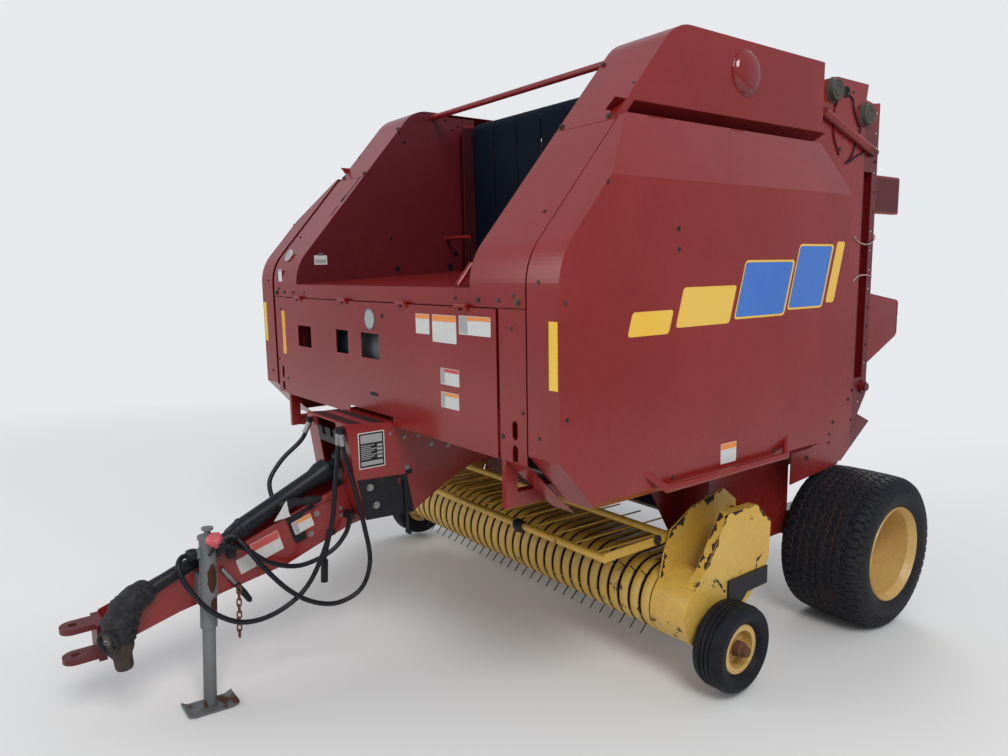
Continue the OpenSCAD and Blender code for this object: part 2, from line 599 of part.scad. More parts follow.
cyl_lo = [1650, 1900];
cyl_hi = [2000, 2600];
cyl_pin_r = 15;
function cyl_pt(t) = cyl_lo + (cyl_hi - cyl_lo) * t;
module barrel(x) parked() {
    difference() {
        union() {
            rod_x(x - 14, x + 14, cyl_lo[0], cyl_lo[1], 26);
            bar([x, cyl_pt(0.02)[0], cyl_pt(0.02)[1]], [x, cyl_pt(0.8)[0], cyl_pt(0.8)[1]], 32);
        }
        rod_x(x - 40, x + 40, cyl_lo[0], cyl_lo[1], cyl_pin_r + 0.05);
        bar([x, cyl_pt(0.06)[0], cyl_pt(0.06)[1]], [x, cyl_pt(0.82)[0], cyl_pt(0.82)[1]], 16.05);
    }
}
module rod(x) parked() {
    difference() {
        union() {
            bar([x, cyl_pt(0.09)[0], cyl_pt(0.09)[1]], [x, cyl_pt(1)[0], cyl_pt(1)[1]], 16);
            rod_x(x - 18, x + 18, cyl_hi[0], cyl_hi[1], 26);
        }
        rod_x(x - 40, x + 40, cyl_hi[0], cyl_hi[1], 18);
    }
}
module cyl_barrel_left() color(black) barrel(cyl_x);
module cyl_rod_left() color(galv) rod(cyl_x);
module cyl_barrel_right() color(black) barrel(-cyl_x);
module cyl_rod_right() color(galv) rod(-cyl_x);

house = [[905, 580], [985, 650], [1150, 890], [1370, 885], [1490, 782], [1480, 590], [1330, 430], [1100, 296]];
pivot_y = 1440;
pivot_z = 800;
tail_t = 4;
upper_tube = [1285, reel_z + band_r - tail_t - 28.3];
lower_tube = [1240, reel_z - band_r + tail_t + 24.3];
module pickup_frame() color(ochre) parked() {
    both() {
        // Inner end plate
        across(band_hw, band_hw + 8) difference() {
            union() {
                translate([reel_y, reel_z]) circle(r = band_r + 4);
                polygon([[900, 580], [930, 700], [975, 800], [1130, 880], [1370, 925], [1470, 850], [1480, 620],
                    [1290, 272], [1060, 271]]);
            }
            translate([reel_y, reel_z]) circle(r = 30.05);
            translate([pivot_y, pivot_z]) circle(r = 22.05);
        }
        // Wide round cover and the outer housing
        across(band_hw + 8, house_x - 50) difference() {
            translate([reel_y, reel_z]) circle(r = band_r);
            translate([reel_y, reel_z]) circle(r = band_r - sheet);
        }
        across(house_x - 50, house_x) union() {
            translate([reel_y, reel_z]) circle(r = band_r);
            polygon(house);
        }
        // Pin of the windguard
        rod_x(band_hw - 44, band_hw, wg_y, wg_z, 12);
    }
    // Rear cross tubes that the bands end on
    rod_x(-band_hw, band_hw, upper_tube[0], upper_tube[1], 28);
    rod_x(-band_hw, band_hw, lower_tube[0], lower_tube[1], 24);
}
band_pitch = (2 * band_hw - 2) / band_n;
module pickup_bands() color(ochre) parked()
    for (i = [0:band_n - 1]) translate([(i - (band_n - 1) / 2) * band_pitch, 0, 0])
        across(-(band_pitch - band_gap) / 2, (band_pitch - band_gap) / 2) {
            difference() {
                translate([reel_y, reel_z]) circle(r = band_r);
                translate([reel_y, reel_z]) circle(r = band_r - tail_t);
                translate([reel_y, reel_z - 200]) square([400, 400]);
            }
            translate([reel_y, reel_z + band_r - tail_t]) square([upper_tube[0] - reel_y + 10, tail_t]);
            translate([reel_y, reel_z - band_r]) square([lower_tube[0] - reel_y + 8, tail_t]);
        }
module pickup_reel() color(black) parked() {
    rod_x(-band_hw - 8, band_hw + 8, reel_y, reel_z, 30);
    for (k = [0:tine_bars - 1]) let (a = 45 + k * 360 / tine_bars) {
        rod_x(-band_hw + 10, band_hw - 10, reel_y + 110 * cos(a), reel_z + 110 * sin(a), 14);
        for (i = [1:band_n - 1]) translate([(i - band_n / 2) * band_pitch, reel_y, reel_z]) rotate([a - 90, 0, 0])
            translate([0, 0, 112]) cylinder(h = tine_r - 112, r = 3, $fn = 6);
    }
    for (x = [-900, 0, 900]) across(x - 4, x + 4) translate([reel_y, reel_z]) circle(r = 125);
}

wg_y = 985;
wg_z = 762;
module windguard() color(ochre) parked() {
    hw = band_hw - 14;
    difference() {
        rod_x(-hw, hw, wg_y, wg_z, 18);
        both() rod_x(hw - 36, hw + 10, wg_y, wg_z, 12.05);
    }
    both() difference() {
        block(hw - 8, hw, 560, wg_y + 10, wg_z - 28, wg_z + 14);
        rod_x(hw - 36, hw + 10, wg_y, wg_z, 12.05);
    }
    rod_x(-hw, hw, 560, 750, 18);
    for (i = [0:13]) let (x = (i / 13 - 0.5) * 2 * (hw - 90)) bar([x, 560, 750], [x, 1215, 736], 4);
}

gauge_x = house_x + 17 + gauge_w / 2;
gauge_y = 1062;
gauge_z = 305;
module gauge_arms() color(black) parked() both() {
    block(house_x, house_x + 10, 1150, 1460, 470, 560);
    rod_x(house_x, gauge_x + 30, gauge_y, gauge_z, 12);
    across(house_x, house_x + 10) polygon([[gauge_y - 25, gauge_z - 20], [gauge_y + 20, gauge_z - 20], [1300, 470], [1150, 470]]);
}
module wheel_at(x, y, z) {
    translate([x, y, z]) rotate([0, 90, 0]) children();
}
module gauge_tyre() rotate_extrude($fn = 64) difference() {
    polygon([[gauge_r - 88, -46], [gauge_r - 68, -gauge_w / 2 + 8], [gauge_r - 30, -gauge_w / 2],
        [gauge_r - 8, -gauge_w / 2 + 12], [gauge_r, -gauge_w / 2 + 35], [gauge_r, gauge_w / 2 - 35],
        [gauge_r - 8, gauge_w / 2 - 12], [gauge_r - 30, gauge_w / 2], [gauge_r - 68, gauge_w / 2 - 8], [gauge_r - 88, 46]]);
    polygon([[gauge_r - 89, -34], [gauge_r - 62, -gauge_w / 2 + 20], [gauge_r - 16, -gauge_w / 2 + 28],
        [gauge_r - 16, gauge_w / 2 - 28], [gauge_r - 62, gauge_w / 2 - 20], [gauge_r - 89, 34]]);
    for (s = [-24, 0, 24]) translate([gauge_r - 6, s - 3]) square([10, 6]);
}
module gauge_rim() rotate_extrude() polygon([[12.1, -30], [34, -30], [34, -8], [88, -8], [88, -50], [113, -50],
    [113, -46], [gauge_r - 88, -46], [gauge_r - 88, 46], [113, 46], [113, 50], [88, 50], [88, 0], [34, 0], [34, 40], [12.1, 40]]);
module gauge_tyre_left() color(rubber) parked() wheel_at(gauge_x, gauge_y, gauge_z) gauge_tyre();
module gauge_rim_left() color(cream) parked() wheel_at(gauge_x, gauge_y, gauge_z) gauge_rim();
module gauge_tyre_right() color(rubber) parked() wheel_at(-gauge_x, gauge_y, gauge_z) mirror([0, 0, 1]) gauge_tyre();
module gauge_rim_right() color(cream) parked() wheel_at(-gauge_x, gauge_y, gauge_z) mirror([0, 0, 1]) gauge_rim();

module main_tyre() rotate_extrude($fn = 96) difference() {
    polygon([[rim_r - 20, 60], [rim_r, 20], [rim_r + 60, 0], [tyre_r - 60, 6], [tyre_r - 22, 26], [tyre_r - 6, 60],
        [tyre_r, 130], [tyre_r, tyre_w - 130], [tyre_r - 6, tyre_w - 60], [tyre_r - 22, tyre_w - 26],
        [tyre_r - 60, tyre_w - 6], [rim_r + 60, tyre_w], [rim_r, tyre_w - 20], [rim_r - 20, tyre_w - 60]]);
    polygon([[rim_r - 21, 100], [rim_r + 50, tyre_wall], [tyre_r - 62, tyre_wall + 8], [tyre_r - tyre_wall, 80],
        [tyre_r - tyre_wall, tyre_w - 80], [tyre_r - 62, tyre_w - tyre_wall - 8], [rim_r + 50, tyre_w - tyre_wall],
        [rim_r - 21, tyre_w - 100]]);
    for (z = [0.24, 0.4, 0.6, 0.76]) translate([tyre_r - 12, z * tyre_w - 5]) square([20, 10]);
}
module main_rim() rotate_extrude($fn = 96) polygon([[spindle_r + 0.05, 60], [70, 60], [70, 110], [rim_r - 46, 120],
    [rim_r - 46, 62], [rim_r - 26, 62], [rim_r - 20, 60], [rim_r - 20, tyre_w - 60], [rim_r - 2, tyre_w - 22],
    [rim_r - 6, tyre_w - 14], [rim_r - 28, tyre_w - 56], [rim_r - 30, 134], [70, 122], [60, 150], [spindle_r + 0.05, 150]]);
module tyre_left() color(rubber) parked() wheel_at(tyre_in, axle_y, axle_z) main_tyre();
module rim_left() color(cream) parked() wheel_at(tyre_in, axle_y, axle_z) main_rim();
module tyre_right() color(rubber) parked() wheel_at(-tyre_in, axle_y, axle_z) mirror([0, 0, 1]) main_tyre();
module rim_right() color(cream) parked() wheel_at(-tyre_in, axle_y, axle_z) mirror([0, 0, 1]) main_rim();

// Free hoses, each a plain tube through hand-chosen points
module hose(p, r, first, last) {
    n = len(p);
    m = 8;
    t = [for (i = [0:n - 1]) i == 0 ? first : i == n - 1 ? last : unit(p[i + 1] - p[i - 1])];
    polyhedron(points = [for (i = [0:n - 1]) let (u = unit(cross(t[i], [1, 0.2, 0.1])), v = cross(t[i], u))
        for (k = [0:m - 1]) p[i] + r * (u * cos(k * 360 / m) + v * sin(k * 360 / m))],
        faces = concat([[for (k = [0:m - 1]) k]], [[for (k = [m - 1:-1:0]) (n - 1) * m + k]],
            [for (i = [0:n - 2]) for (k = [0:m - 1]) [i * m + k, (i + 1) * m + k, (i + 1) * m + (k + 1) % m, i * m + (k + 1) % m]]),
        convexity = 8);
}
hose_r = 11;
// A smooth curve through the chosen points, k steps to each span
function smooth(p, k) = concat([for (i = [0:len(p) - 2]) let (a = p[max(i - 1, 0)], b = p[i], c = p[i + 1],
    d = p[min(i + 2, len(p) - 1)]) for (j = [0:k - 1]) let (t = j / k)
    0.5 * (2 * b + t * (c - a) + t * t * (2 * a - 5 * b + 4 * c - d) + t * t * t * (3 * b - a - 3 * c + d))],
    [p[len(p) - 1]]);
front_route = [[165, -262, 1290], [168, -268, 1215], [182, -296, 1080], [195, -326, 895], [202, -399, 720],
    [208, -492, 600], [216, -635, 540], [222, -776, 550], [222, -896, 635], [210, -975, 755], [182, -1000, 840],
    [150, -978, 868], [144, -946, 868]];
rear_route = [[195, -262, 1290], [208, -258, 1205], [240, -227, 1035], [250, -195, 860], [250, -172, 683],
    [247, -219, 558], [241, -333, 517], [237, -453, 552], [233, -565, 640], [214, -667, 770], [170, -735, 880],
    [122, -758, 900], [100, -762, 842]];
low_route = [[144, -800, 868], [146, -770, 864], [142, -710, 838], [134, -604, 745], [130, -466, 695], [130, -317, 723],
    [128, -235, 790], [120, -200, 862]];
return_route = [[-165, -262, 1290], [-165, -306, 1212], [-162, -412, 1129], [-140, -487, 1041], [-100, -491, 955]];
module hose_front() color(black) parked() hose(smooth(front_route, 2), hose_r, [0, 0, -1], [0, 1, 0]);
module hose_rear() color(black) parked() hose(smooth(rear_route, 2), hose_r, [0, 0, -1], [0, 0, -1]);
module hose_low() color(black) parked() hose(smooth(low_route, 2), hose_r, [0, 1, 0], [0, 0, 1]);
module hose_return() color(black) parked() hose(smooth(return_route, 2), hose_r, [0, 0, -1], [0, 0, -1]);

main_frame();
axle();
drawbar();
drawbar_plates();
hitch_clevis();
driveline();
jack_sleeve();
jack_leg();
safety_chain();
platform();
tower_walls();
tower_fronts();
tower_rods();
caps();
front_belts();
front_rollers();
twine_balls();
front_door();
shield_left();
shield_right();
gate_frame();
gate_rollers();
gate_belts();
lamp_brackets();
cyl_barrel_left();
cyl_rod_left();
cyl_barrel_right();
cyl_rod_right();
pickup_frame();
pickup_bands();
pickup_reel();
windguard();
gauge_arms();
gauge_tyre_left();
gauge_rim_left();
gauge_tyre_right();
gauge_rim_right();
tyre_left();
rim_left();
tyre_right();
rim_right();
hose_front();
hose_rear();
hose_low();
hose_return();
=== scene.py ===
import bpy
import bmesh
import json
from math import cos, hypot, pi, radians, sin
from mathutils import Matrix, Vector


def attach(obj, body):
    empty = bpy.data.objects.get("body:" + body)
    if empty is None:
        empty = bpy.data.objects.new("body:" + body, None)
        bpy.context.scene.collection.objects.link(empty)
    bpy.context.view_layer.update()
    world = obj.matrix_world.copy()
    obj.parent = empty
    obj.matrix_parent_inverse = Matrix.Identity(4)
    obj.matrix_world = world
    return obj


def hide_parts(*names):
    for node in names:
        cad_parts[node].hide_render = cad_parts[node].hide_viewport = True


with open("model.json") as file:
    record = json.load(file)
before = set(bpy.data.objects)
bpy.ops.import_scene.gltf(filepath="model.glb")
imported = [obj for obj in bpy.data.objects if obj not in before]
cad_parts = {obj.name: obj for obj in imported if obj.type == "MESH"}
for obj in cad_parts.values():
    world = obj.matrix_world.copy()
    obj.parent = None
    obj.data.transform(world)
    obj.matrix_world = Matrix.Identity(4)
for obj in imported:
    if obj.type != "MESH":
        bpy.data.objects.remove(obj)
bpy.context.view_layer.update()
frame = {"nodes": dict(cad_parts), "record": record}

# The baler's level body frame, in millimetres from the front door, turned nose down on the jack
PITCH = radians(3)
AXLE_Y, AXLE_Z = 2410, 430
HITCH_LEVEL = Vector((0, -1.374, 0.564))
pivot = Matrix.Translation((0, AXLE_Y / 1000, AXLE_Z / 1000))
tilt = pivot @ Matrix.Rotation(PITCH, 4, "X") @ pivot.inverted()
hitch = Vector(frame["record"]["mounts"][0]["pos_m"])
parked = Matrix.Translation((0, hitch.y - (tilt @ HITCH_LEVEL).y, 0)) @ tilt


def at(x, y, z):
    """A point of the level body frame, given in millimetres."""
    return parked @ Vector((x / 1000, y / 1000, z / 1000))


def added(name, data):
    obj = bpy.data.objects.new(name, data)
    bpy.context.collection.objects.link(obj)
    return obj


# Camera at the photograph's viewing angle
CAMERA_AT = (3348, -1725, 2031)
YAW, DIP, ROLL = (radians(angle) for angle in (52.656, -8.236, -0.931))
FOCAL_PX, WIDTH_PX, SENSOR_MM = 757, 1008, 36


def add_camera():
    ahead = Vector((-sin(YAW) * cos(DIP), cos(YAW) * cos(DIP), sin(DIP)))
    right = Vector((cos(YAW), sin(YAW), 0))
    up = right.cross(ahead)
    right, up = right * cos(ROLL) + up * sin(ROLL), up * cos(ROLL) - right * sin(ROLL)
    data = bpy.data.cameras.new("camera")
    data.sensor_width = SENSOR_MM
    data.lens = FOCAL_PX / WIDTH_PX * SENSOR_MM
    turn = (parked.to_3x3() @ Matrix((right, up, -ahead)).transposed()).to_4x4()
    turn.translation = at(*CAMERA_AT)
    bpy.context.scene.camera = added("camera", data)
    bpy.context.scene.camera.matrix_world = turn


add_camera()

# Shared shader effects, and the sockets among theirs that carry colours
COLORS = ("Paint", "Faded", "Dust", "Coat", "Under", "Color")


def group(name, inputs, outputs):
    """A node group with float sockets, but for those that COLORS names."""
    g = bpy.data.node_groups.new(name, "ShaderNodeTree")
    for way, labels in (("INPUT", inputs), ("OUTPUT", outputs)):
        for label in labels:
            kind = "NodeSocketColor" if label in COLORS else "NodeSocketFloat"
            g.interface.new_socket(name=label, in_out=way, socket_type=kind)
    return g, Build(g)


class Build:
    """Places nodes in a tree and links them."""

    def __init__(self, tree):
        self.tree = tree

    def node(self, kind, **sockets):
        n = self.tree.nodes.new(kind)
        for key, value in sockets.items():
            if key.startswith("_"):
                setattr(n, key[1:], value)
            else:
                self.feed(n, key.replace("__", " "), value)
        return n

    def feed(self, n, key, value):
        socket = n.inputs[int(key[1:])] if key[0] == "i" and key[1:].isdigit() else n.inputs[key]
        if isinstance(value, bpy.types.NodeSocket):
            self.tree.links.new(value, socket)
        else:
            socket.default_value = value

    def math(self, op, a, b=0.0, clamp=False):
        return self.node("ShaderNodeMath", _operation=op, _use_clamp=clamp, i0=a, i1=b).outputs[0]

    def times(self, a, b, clamp=False):
        return self.math("MULTIPLY", a, b, clamp)

    def mix(self, factor, a, b):
        return self.node("ShaderNodeMix", _data_type="RGBA", i0=factor, i6=a, i7=b).outputs[2]

    def ramp(self, value, low, high):
        return self.node("ShaderNodeMapRange", Value=value, From__Min=low, From__Max=high).outputs[0]

    def noise(self, where, scale, detail, rough):
        return self.node("ShaderNodeTexNoise", Vector=where, Scale=scale, Detail=detail, Roughness=rough).outputs[0]

    def place(self):
        return self.node("ShaderNodeTexCoord").outputs["Object"]

    def split(self, where):
        return self.node("ShaderNodeSeparateXYZ", Vector=where).outputs

    def vector(self, op, a, b=(0, 0, 0)):
        n = self.node("ShaderNodeVectorMath", _operation=op, i0=a, i1=b)
        return n.outputs["Value" if op in ("DOT_PRODUCT", "LENGTH") else 0]


def make_weather():
    """Sun fade in broad patches, fine grime, and road dust that thickens low down."""
    g, b = group("weather", ("Paint", "Faded", "Dust", "Fade", "Dust amount", "Gloss"),
        ("Color", "Roughness", "Height"))
    inp = b.node("NodeGroupInput").outputs
    where = b.place()
    broad = b.ramp(b.noise(where, 1.6, 5, 0.6), 0.38, 0.66)
    fine = b.noise(where, 34, 8, 0.7)
    low = b.ramp(b.split(where)[2], 1.5, 0.2)
    faded = b.mix(b.times(broad, inp["Fade"], True), inp["Paint"], inp["Faded"])
    grime = b.times(b.ramp(fine, 0.35, 0.75), b.math("ADD", b.times(low, 0.75), 0.18))
    grime = b.times(grime, inp["Dust amount"], True)
    out = b.node("NodeGroupOutput")
    b.feed(out, "Color", b.mix(grime, faded, inp["Dust"]))
    b.feed(out, "Roughness", b.math("ADD", inp["Gloss"], b.times(grime, 0.6), True))
    b.feed(out, "Height", fine)
    return g


def make_chips():
    """Paint worn through to dark or rusty metal in ragged spots."""
    g, b = group("chips", ("Coat", "Under", "Amount", "Scale"), ("Color", "Mask"))
    inp = b.node("NodeGroupInput").outputs
    where = b.place()
    spots = b.noise(where, inp["Scale"], 9, 0.68)
    patch = b.noise(where, 2.3, 3, 0.5)
    level = b.math("ADD", spots, b.times(patch, 0.35))
    edge = b.math("SUBTRACT", 0.98, b.times(inp["Amount"], 0.3))
    mask = b.times(b.math("SUBTRACT", level, edge), 22, True)
    out = b.node("NodeGroupOutput")
    b.feed(out, "Color", b.mix(mask, inp["Coat"], inp["Under"]))
    b.feed(out, "Mask", mask)
    return g


weather = make_weather()
chips = make_chips()
finishes = {}
COAT_ROUGHNESS, BUMP_SIZE = 0.12, 0.0006
ROAD_DUST, YELLOW_DUST = (0.42, 0.3, 0.2), (0.26, 0.19, 0.11)
GREASE, IRON_DUST = (0.15, 0.11, 0.08), (0.12, 0.085, 0.06)


def weathered(name, paint, faded, fade, dusty, gloss, dust=ROAD_DUST, chip=0.0, under=None, chip_scale=9.0,
        metallic=0.0, coat=0.0, specular=0.5, bump=0.12):
    """A finish: its paint, its faded paint, and how much of it is faded, dusty and rough."""
    m = bpy.data.materials.new(name)
    m.use_nodes = True
    b = Build(m.node_tree)
    w = b.node("ShaderNodeGroup", _node_tree=weather, Paint=(*paint, 1), Faded=(*faded, 1), Dust=(*dust, 1), Fade=fade,
        Dust__amount=dusty, Gloss=gloss)
    color, height, rough = w.outputs["Color"], w.outputs["Height"], w.outputs["Roughness"]
    if chip:
        c = b.node("ShaderNodeGroup", _node_tree=chips, Coat=color, Under=(*under, 1), Amount=chip, Scale=chip_scale)
        color = c.outputs["Color"]
        rough = b.math("ADD", rough, b.times(c.outputs["Mask"], 0.35), True)
        height = b.math("SUBTRACT", height, c.outputs["Mask"])
    normal = b.node("ShaderNodeBump", Strength=bump, Distance=BUMP_SIZE, Height=height).outputs[0]
    for label, value in (("Base Color", color), ("Roughness", rough), ("Metallic", metallic), ("Coat Weight", coat),
            ("Coat Roughness", COAT_ROUGHNESS), ("Specular IOR Level", specular), ("Normal", normal)):
        b.feed(m.node_tree.nodes["Principled BSDF"], label, value)
    finishes[name] = m
    return m


# The finishes of the slots
maroon = weathered("maroon_paint", (0.205, 0.0075, 0.0068), (0.262, 0.017, 0.017), 0.6, 0.1, 0.24, coat=0.16,
    specular=0.4, bump=0.02)
dark_red = weathered("dark_red_paint", (0.085, 0.003, 0.007), (0.115, 0.006, 0.011), 0.5, 0.12, 0.42, specular=0.35,
    bump=0.03)
weathered("ochre_paint", (0.64, 0.36, 0.03), (0.72, 0.46, 0.09), 0.6, 0.45, 0.34, YELLOW_DUST, 0.66,
    (0.045, 0.026, 0.018), 11, coat=0.1)
cream = weathered("cream_paint", (0.62, 0.38, 0.1), (0.68, 0.46, 0.17), 0.5, 0.45, 0.35, (0.26, 0.19, 0.12), 0.35,
    (0.1, 0.05, 0.03))
black = weathered("black_paint", (0.004, 0.006, 0.011), (0.01, 0.012, 0.017), 0.6, 0.2, 0.36, GREASE, specular=0.2)
weathered("tyre", (0.004, 0.006, 0.01), (0.009, 0.011, 0.016), 0.7, 0.13, 0.5, (0.12, 0.09, 0.07), bump=0.25,
    specular=0.15)
weathered("belt_rubber", (0.003, 0.006, 0.014), (0.006, 0.011, 0.021), 0.6, 0.1, 0.68, (0.08, 0.07, 0.06), bump=0.3,
    specular=0.08)
rubber = weathered("hose_rubber", (0.004, 0.005, 0.008), (0.009, 0.01, 0.014), 0.5, 0.15, 0.33, (0.1, 0.08, 0.06),
    specular=0.25)
# Galvanised grey darkened as painted shade, for the jack, which stands in shade
shaded_zinc = weathered("galvanised", (0.125, 0.14, 0.15), (0.2, 0.22, 0.225), 0.8, 0.4, 0.5, (0.24, 0.19, 0.14), 0.8,
    (0.085, 0.03, 0.016), 5, metallic=0.4)
rusty = weathered("rusty_iron", (0.1, 0.035, 0.016), (0.18, 0.07, 0.03), 0.8, 0.5, 0.75, (0.08, 0.05, 0.03), bump=0.4)
steel = weathered("steel", (0.3, 0.29, 0.28), (0.38, 0.37, 0.36), 0.5, 0.5, 0.35, (0.15, 0.1, 0.07), metallic=0.8)

# Blank plates, reflectors, lenses and the side design
pale = weathered("plate_white", (0.62, 0.62, 0.6), (0.5, 0.49, 0.46), 0.6, 0.4, 0.45)
orange = weathered("plate_orange", (0.75, 0.22, 0.02), (0.7, 0.32, 0.1), 0.6, 0.4, 0.45)
red = weathered("plate_red", (0.5, 0.02, 0.03), (0.5, 0.1, 0.08), 0.6, 0.4, 0.45)
grey = weathered("plate_grey", (0.33, 0.34, 0.34), (0.28, 0.28, 0.28), 0.6, 0.4, 0.5)
yellow = weathered("design_yellow", (0.8, 0.47, 0.03), (0.78, 0.52, 0.12), 0.5, 0.2, 0.3, coat=0.3)
blue = weathered("design_blue", (0.022, 0.125, 0.5), (0.05, 0.2, 0.56), 0.6, 0.15, 0.3, coat=0.3)
strip_yellow = weathered("reflector_yellow", (0.85, 0.55, 0.02), (0.75, 0.52, 0.08), 0.4, 0.3, 0.2, coat=0.5)
strip_orange = weathered("reflector_orange", (0.85, 0.33, 0.01), (0.8, 0.42, 0.05), 0.4, 0.3, 0.2, coat=0.5)
lens = weathered("lens_red", (0.19, 0.006, 0.005), (0.24, 0.01, 0.008), 0.4, 0.12, 0.15, coat=0.3, bump=0.02)
amber = weathered("lens_amber", (0.72, 0.22, 0.01), (0.75, 0.3, 0.04), 0.4, 0.12, 0.12, coat=0.8, bump=0.02)

# Small parts, worn edges and shaded faces
dark = weathered("shadow_black", (0.004, 0.004, 0.005), (0.008, 0.008, 0.01), 0.5, 0.2, 0.8, (0.05, 0.04, 0.03),
    specular=0.1)
shade = weathered("inner_shade", (0.03, 0.002, 0.004), (0.045, 0.004, 0.006), 0.5, 0.1, 0.6, bump=0.03, specular=0.15)
# A darker copy of the maroon, painted shade on the undersides of the caps' lips
lip_shade_red = weathered("lip_shade_red", (0.15, 0.006, 0.007), (0.19, 0.011, 0.012), 0.6, 0.08, 0.7, specular=0.05, bump=0.02)
worn = weathered("worn_through", (0.01, 0.008, 0.008), (0.05, 0.025, 0.015), 0.9, 0.4, 0.6, (0.1, 0.06, 0.04),
    bump=0.3, specular=0.2)
dull = weathered("bolt_dull", (0.06, 0.03, 0.026), (0.13, 0.09, 0.075), 0.9, 0.5, 0.5, (0.15, 0.1, 0.07),
    metallic=0.5, bump=0.3)
shaft_iron = weathered("driveline_iron", (0.012, 0.011, 0.011), (0.035, 0.03, 0.026), 0.8, 0.7, 0.6, IRON_DUST,
    bump=0.4, specular=0.2)
joint_iron = weathered("joint_iron", (0.035, 0.03, 0.028), (0.085, 0.072, 0.062), 0.9, 0.5, 0.5, IRON_DUST,
    metallic=0.4, bump=0.4)
bearing = weathered("bearing_iron", (0.045, 0.042, 0.038), (0.1, 0.09, 0.075), 0.9, 0.5, 0.6, (0.16, 0.13, 0.1),
    specular=0.2, bump=0.4)
boot_rubber = weathered("boot_rubber", (0.006, 0.007, 0.011), (0.02, 0.021, 0.024), 0.9, 0.22, 0.55, GREASE,
    bump=0.4, specular=0.2)
pink = weathered("plastic_pink", (0.5, 0.035, 0.06), (0.54, 0.09, 0.11), 0.7, 0.4, 0.3, bump=0.3)
wire = weathered("wire_sleeve", (0.3, 0.17, 0.16), (0.42, 0.3, 0.28), 0.8, 0.3, 0.5)


def opened(m):
    """A finish's tree, its shader, its colour so far and the place on the object."""
    b = Build(m.node_tree)
    shader = m.node_tree.nodes["Principled BSDF"]
    return b, shader, shader.inputs["Base Color"].links[0].from_socket, b.place()


def add_bump(b, shader, strength, distance, height):
    """A coarser relief under the finish's own."""
    fine = shader.inputs["Normal"].links[0].from_socket
    bump = b.node("ShaderNodeBump", Strength=strength, Distance=distance, Height=height, Normal=fine)
    b.feed(shader, "Normal", bump.outputs[0])


def make_gate_paint_with_post_shade():
    """The side paint, with painted shade darkening the rear post's channel and flange."""
    m = weathered("gate_paint", (0.205, 0.0075, 0.0068), (0.275, 0.026, 0.028), 0.7, 0.12, 0.27, coat=0.1,
        specular=0.4, bump=0.02)
    b, shader, color, where = opened(m)
    rearward = Vector((0, cos(PITCH), sin(PITCH)))
    past = b.math("SUBTRACT", b.vector("DOT_PRODUCT", where, rearward), at(*POST_FRONT).dot(rearward))
    mask = b.times(past, 400, True)
    mask = b.times(mask, b.ramp(b.split(where)[2], 2.93, 2.78), True)
    # Painted shade darkens the rear post's channel and flange, fading out near the top
    b.feed(shader, "Base Color", b.mix(b.times(mask, 0.85), color, (0.105, 0.0035, 0.005, 1)))
    return m


def make_twine():
    """Crossing turns of twine, dark blue in the middle ball and grey in the near one, with painted shade between the
    threads.
    """
    m = weathered("twine_wound", (0.2, 0.215, 0.23), (0.27, 0.28, 0.29), 0.8, 0.2, 0.65, bump=0.3)
    b, shader, color, where = opened(m)
    waves = []
    for lean in (0.5, -0.5):
        leaned = b.node("ShaderNodeMapping", Vector=where, Rotation=(0, lean, 0)).outputs[0]
        waves.append(b.node("ShaderNodeTexWave", _bands_direction="X", Vector=leaned, Scale=30.0, Distortion=1.6,
            Detail=2.0).outputs[1])
    threads = b.math("MAXIMUM", waves[0], b.times(waves[1], 0.85))
    blue_side = b.times(b.math("SUBTRACT", -0.2, b.split(where)[0]), 100, True)
    color = b.mix(blue_side, color, (0.016, 0.065, 0.125, 1))
    # Painted shade in the gaps between the threads
    shaded_between = b.mix(0.75, color, (0.002, 0.002, 0.003, 1))
    b.feed(shader, "Base Color", b.mix(b.times(threads, 0.6), shaded_between, color))
    add_bump(b, shader, 0.8, 0.002, threads)
    return m


def make_jack_paint():
    """Galvanised steel, darkened as painted shade, with two rusted patches on the sleeve's outer side."""
    m = shaded_zinc.copy()
    m.name = "jack_paint"
    b, shader, color, where = opened(m)
    rough = shader.inputs["Roughness"].links[0].from_socket
    edge = b.times(b.noise(where, 55, 5, 0.65), 0.9)
    mask = 0.0
    for place, height in (((178, -868, 757), 0.064), ((178, -862, 640), 0.032)):
        near = b.vector("DIVIDE", b.vector("SUBTRACT", where, at(*place)), (0.024, 0.024, height))
        far = b.math("ADD", b.vector("LENGTH", near), edge)
        mask = b.math("MAXIMUM", mask, b.times(b.math("SUBTRACT", 1.42, far), 14, True))
    b.feed(shader, "Base Color", b.mix(mask, color, (0.075, 0.022, 0.013, 1)))
    b.feed(shader, "Roughness", b.math("ADD", rough, b.times(mask, 0.3), True))
    return m


def make_band_paint_with_edge_shade():
    """The yellow paint over rounded guard strips, with painted shade darkening them down their edges."""
    m = weathered("band_paint", (0.66, 0.385, 0.04), (0.74, 0.47, 0.1), 0.6, 0.4, 0.3, YELLOW_DUST, 0.6,
        (0.045, 0.026, 0.018), 11, coat=0.15)
    b, shader, color, where = opened(m)
    turns = b.math("ADD", b.math("DIVIDE", b.split(where)[0], BAND_PITCH), 40.5)
    mid = b.math("SUBTRACT", b.math("FRACT", turns), 0.5)
    add_bump(b, shader, 0.9, 0.011, b.times(b.times(mid, mid), -4.0))
    # Painted shade down the strips' rounded edges, where they turn away from the light
    edge = b.times(b.math("SUBTRACT", b.math("ABSOLUTE", mid), 0.25), 6.0, True)
    b.feed(shader, "Base Color", b.mix(b.times(edge, 0.5), color, (0.16, 0.08, 0.015, 1)))
    return m


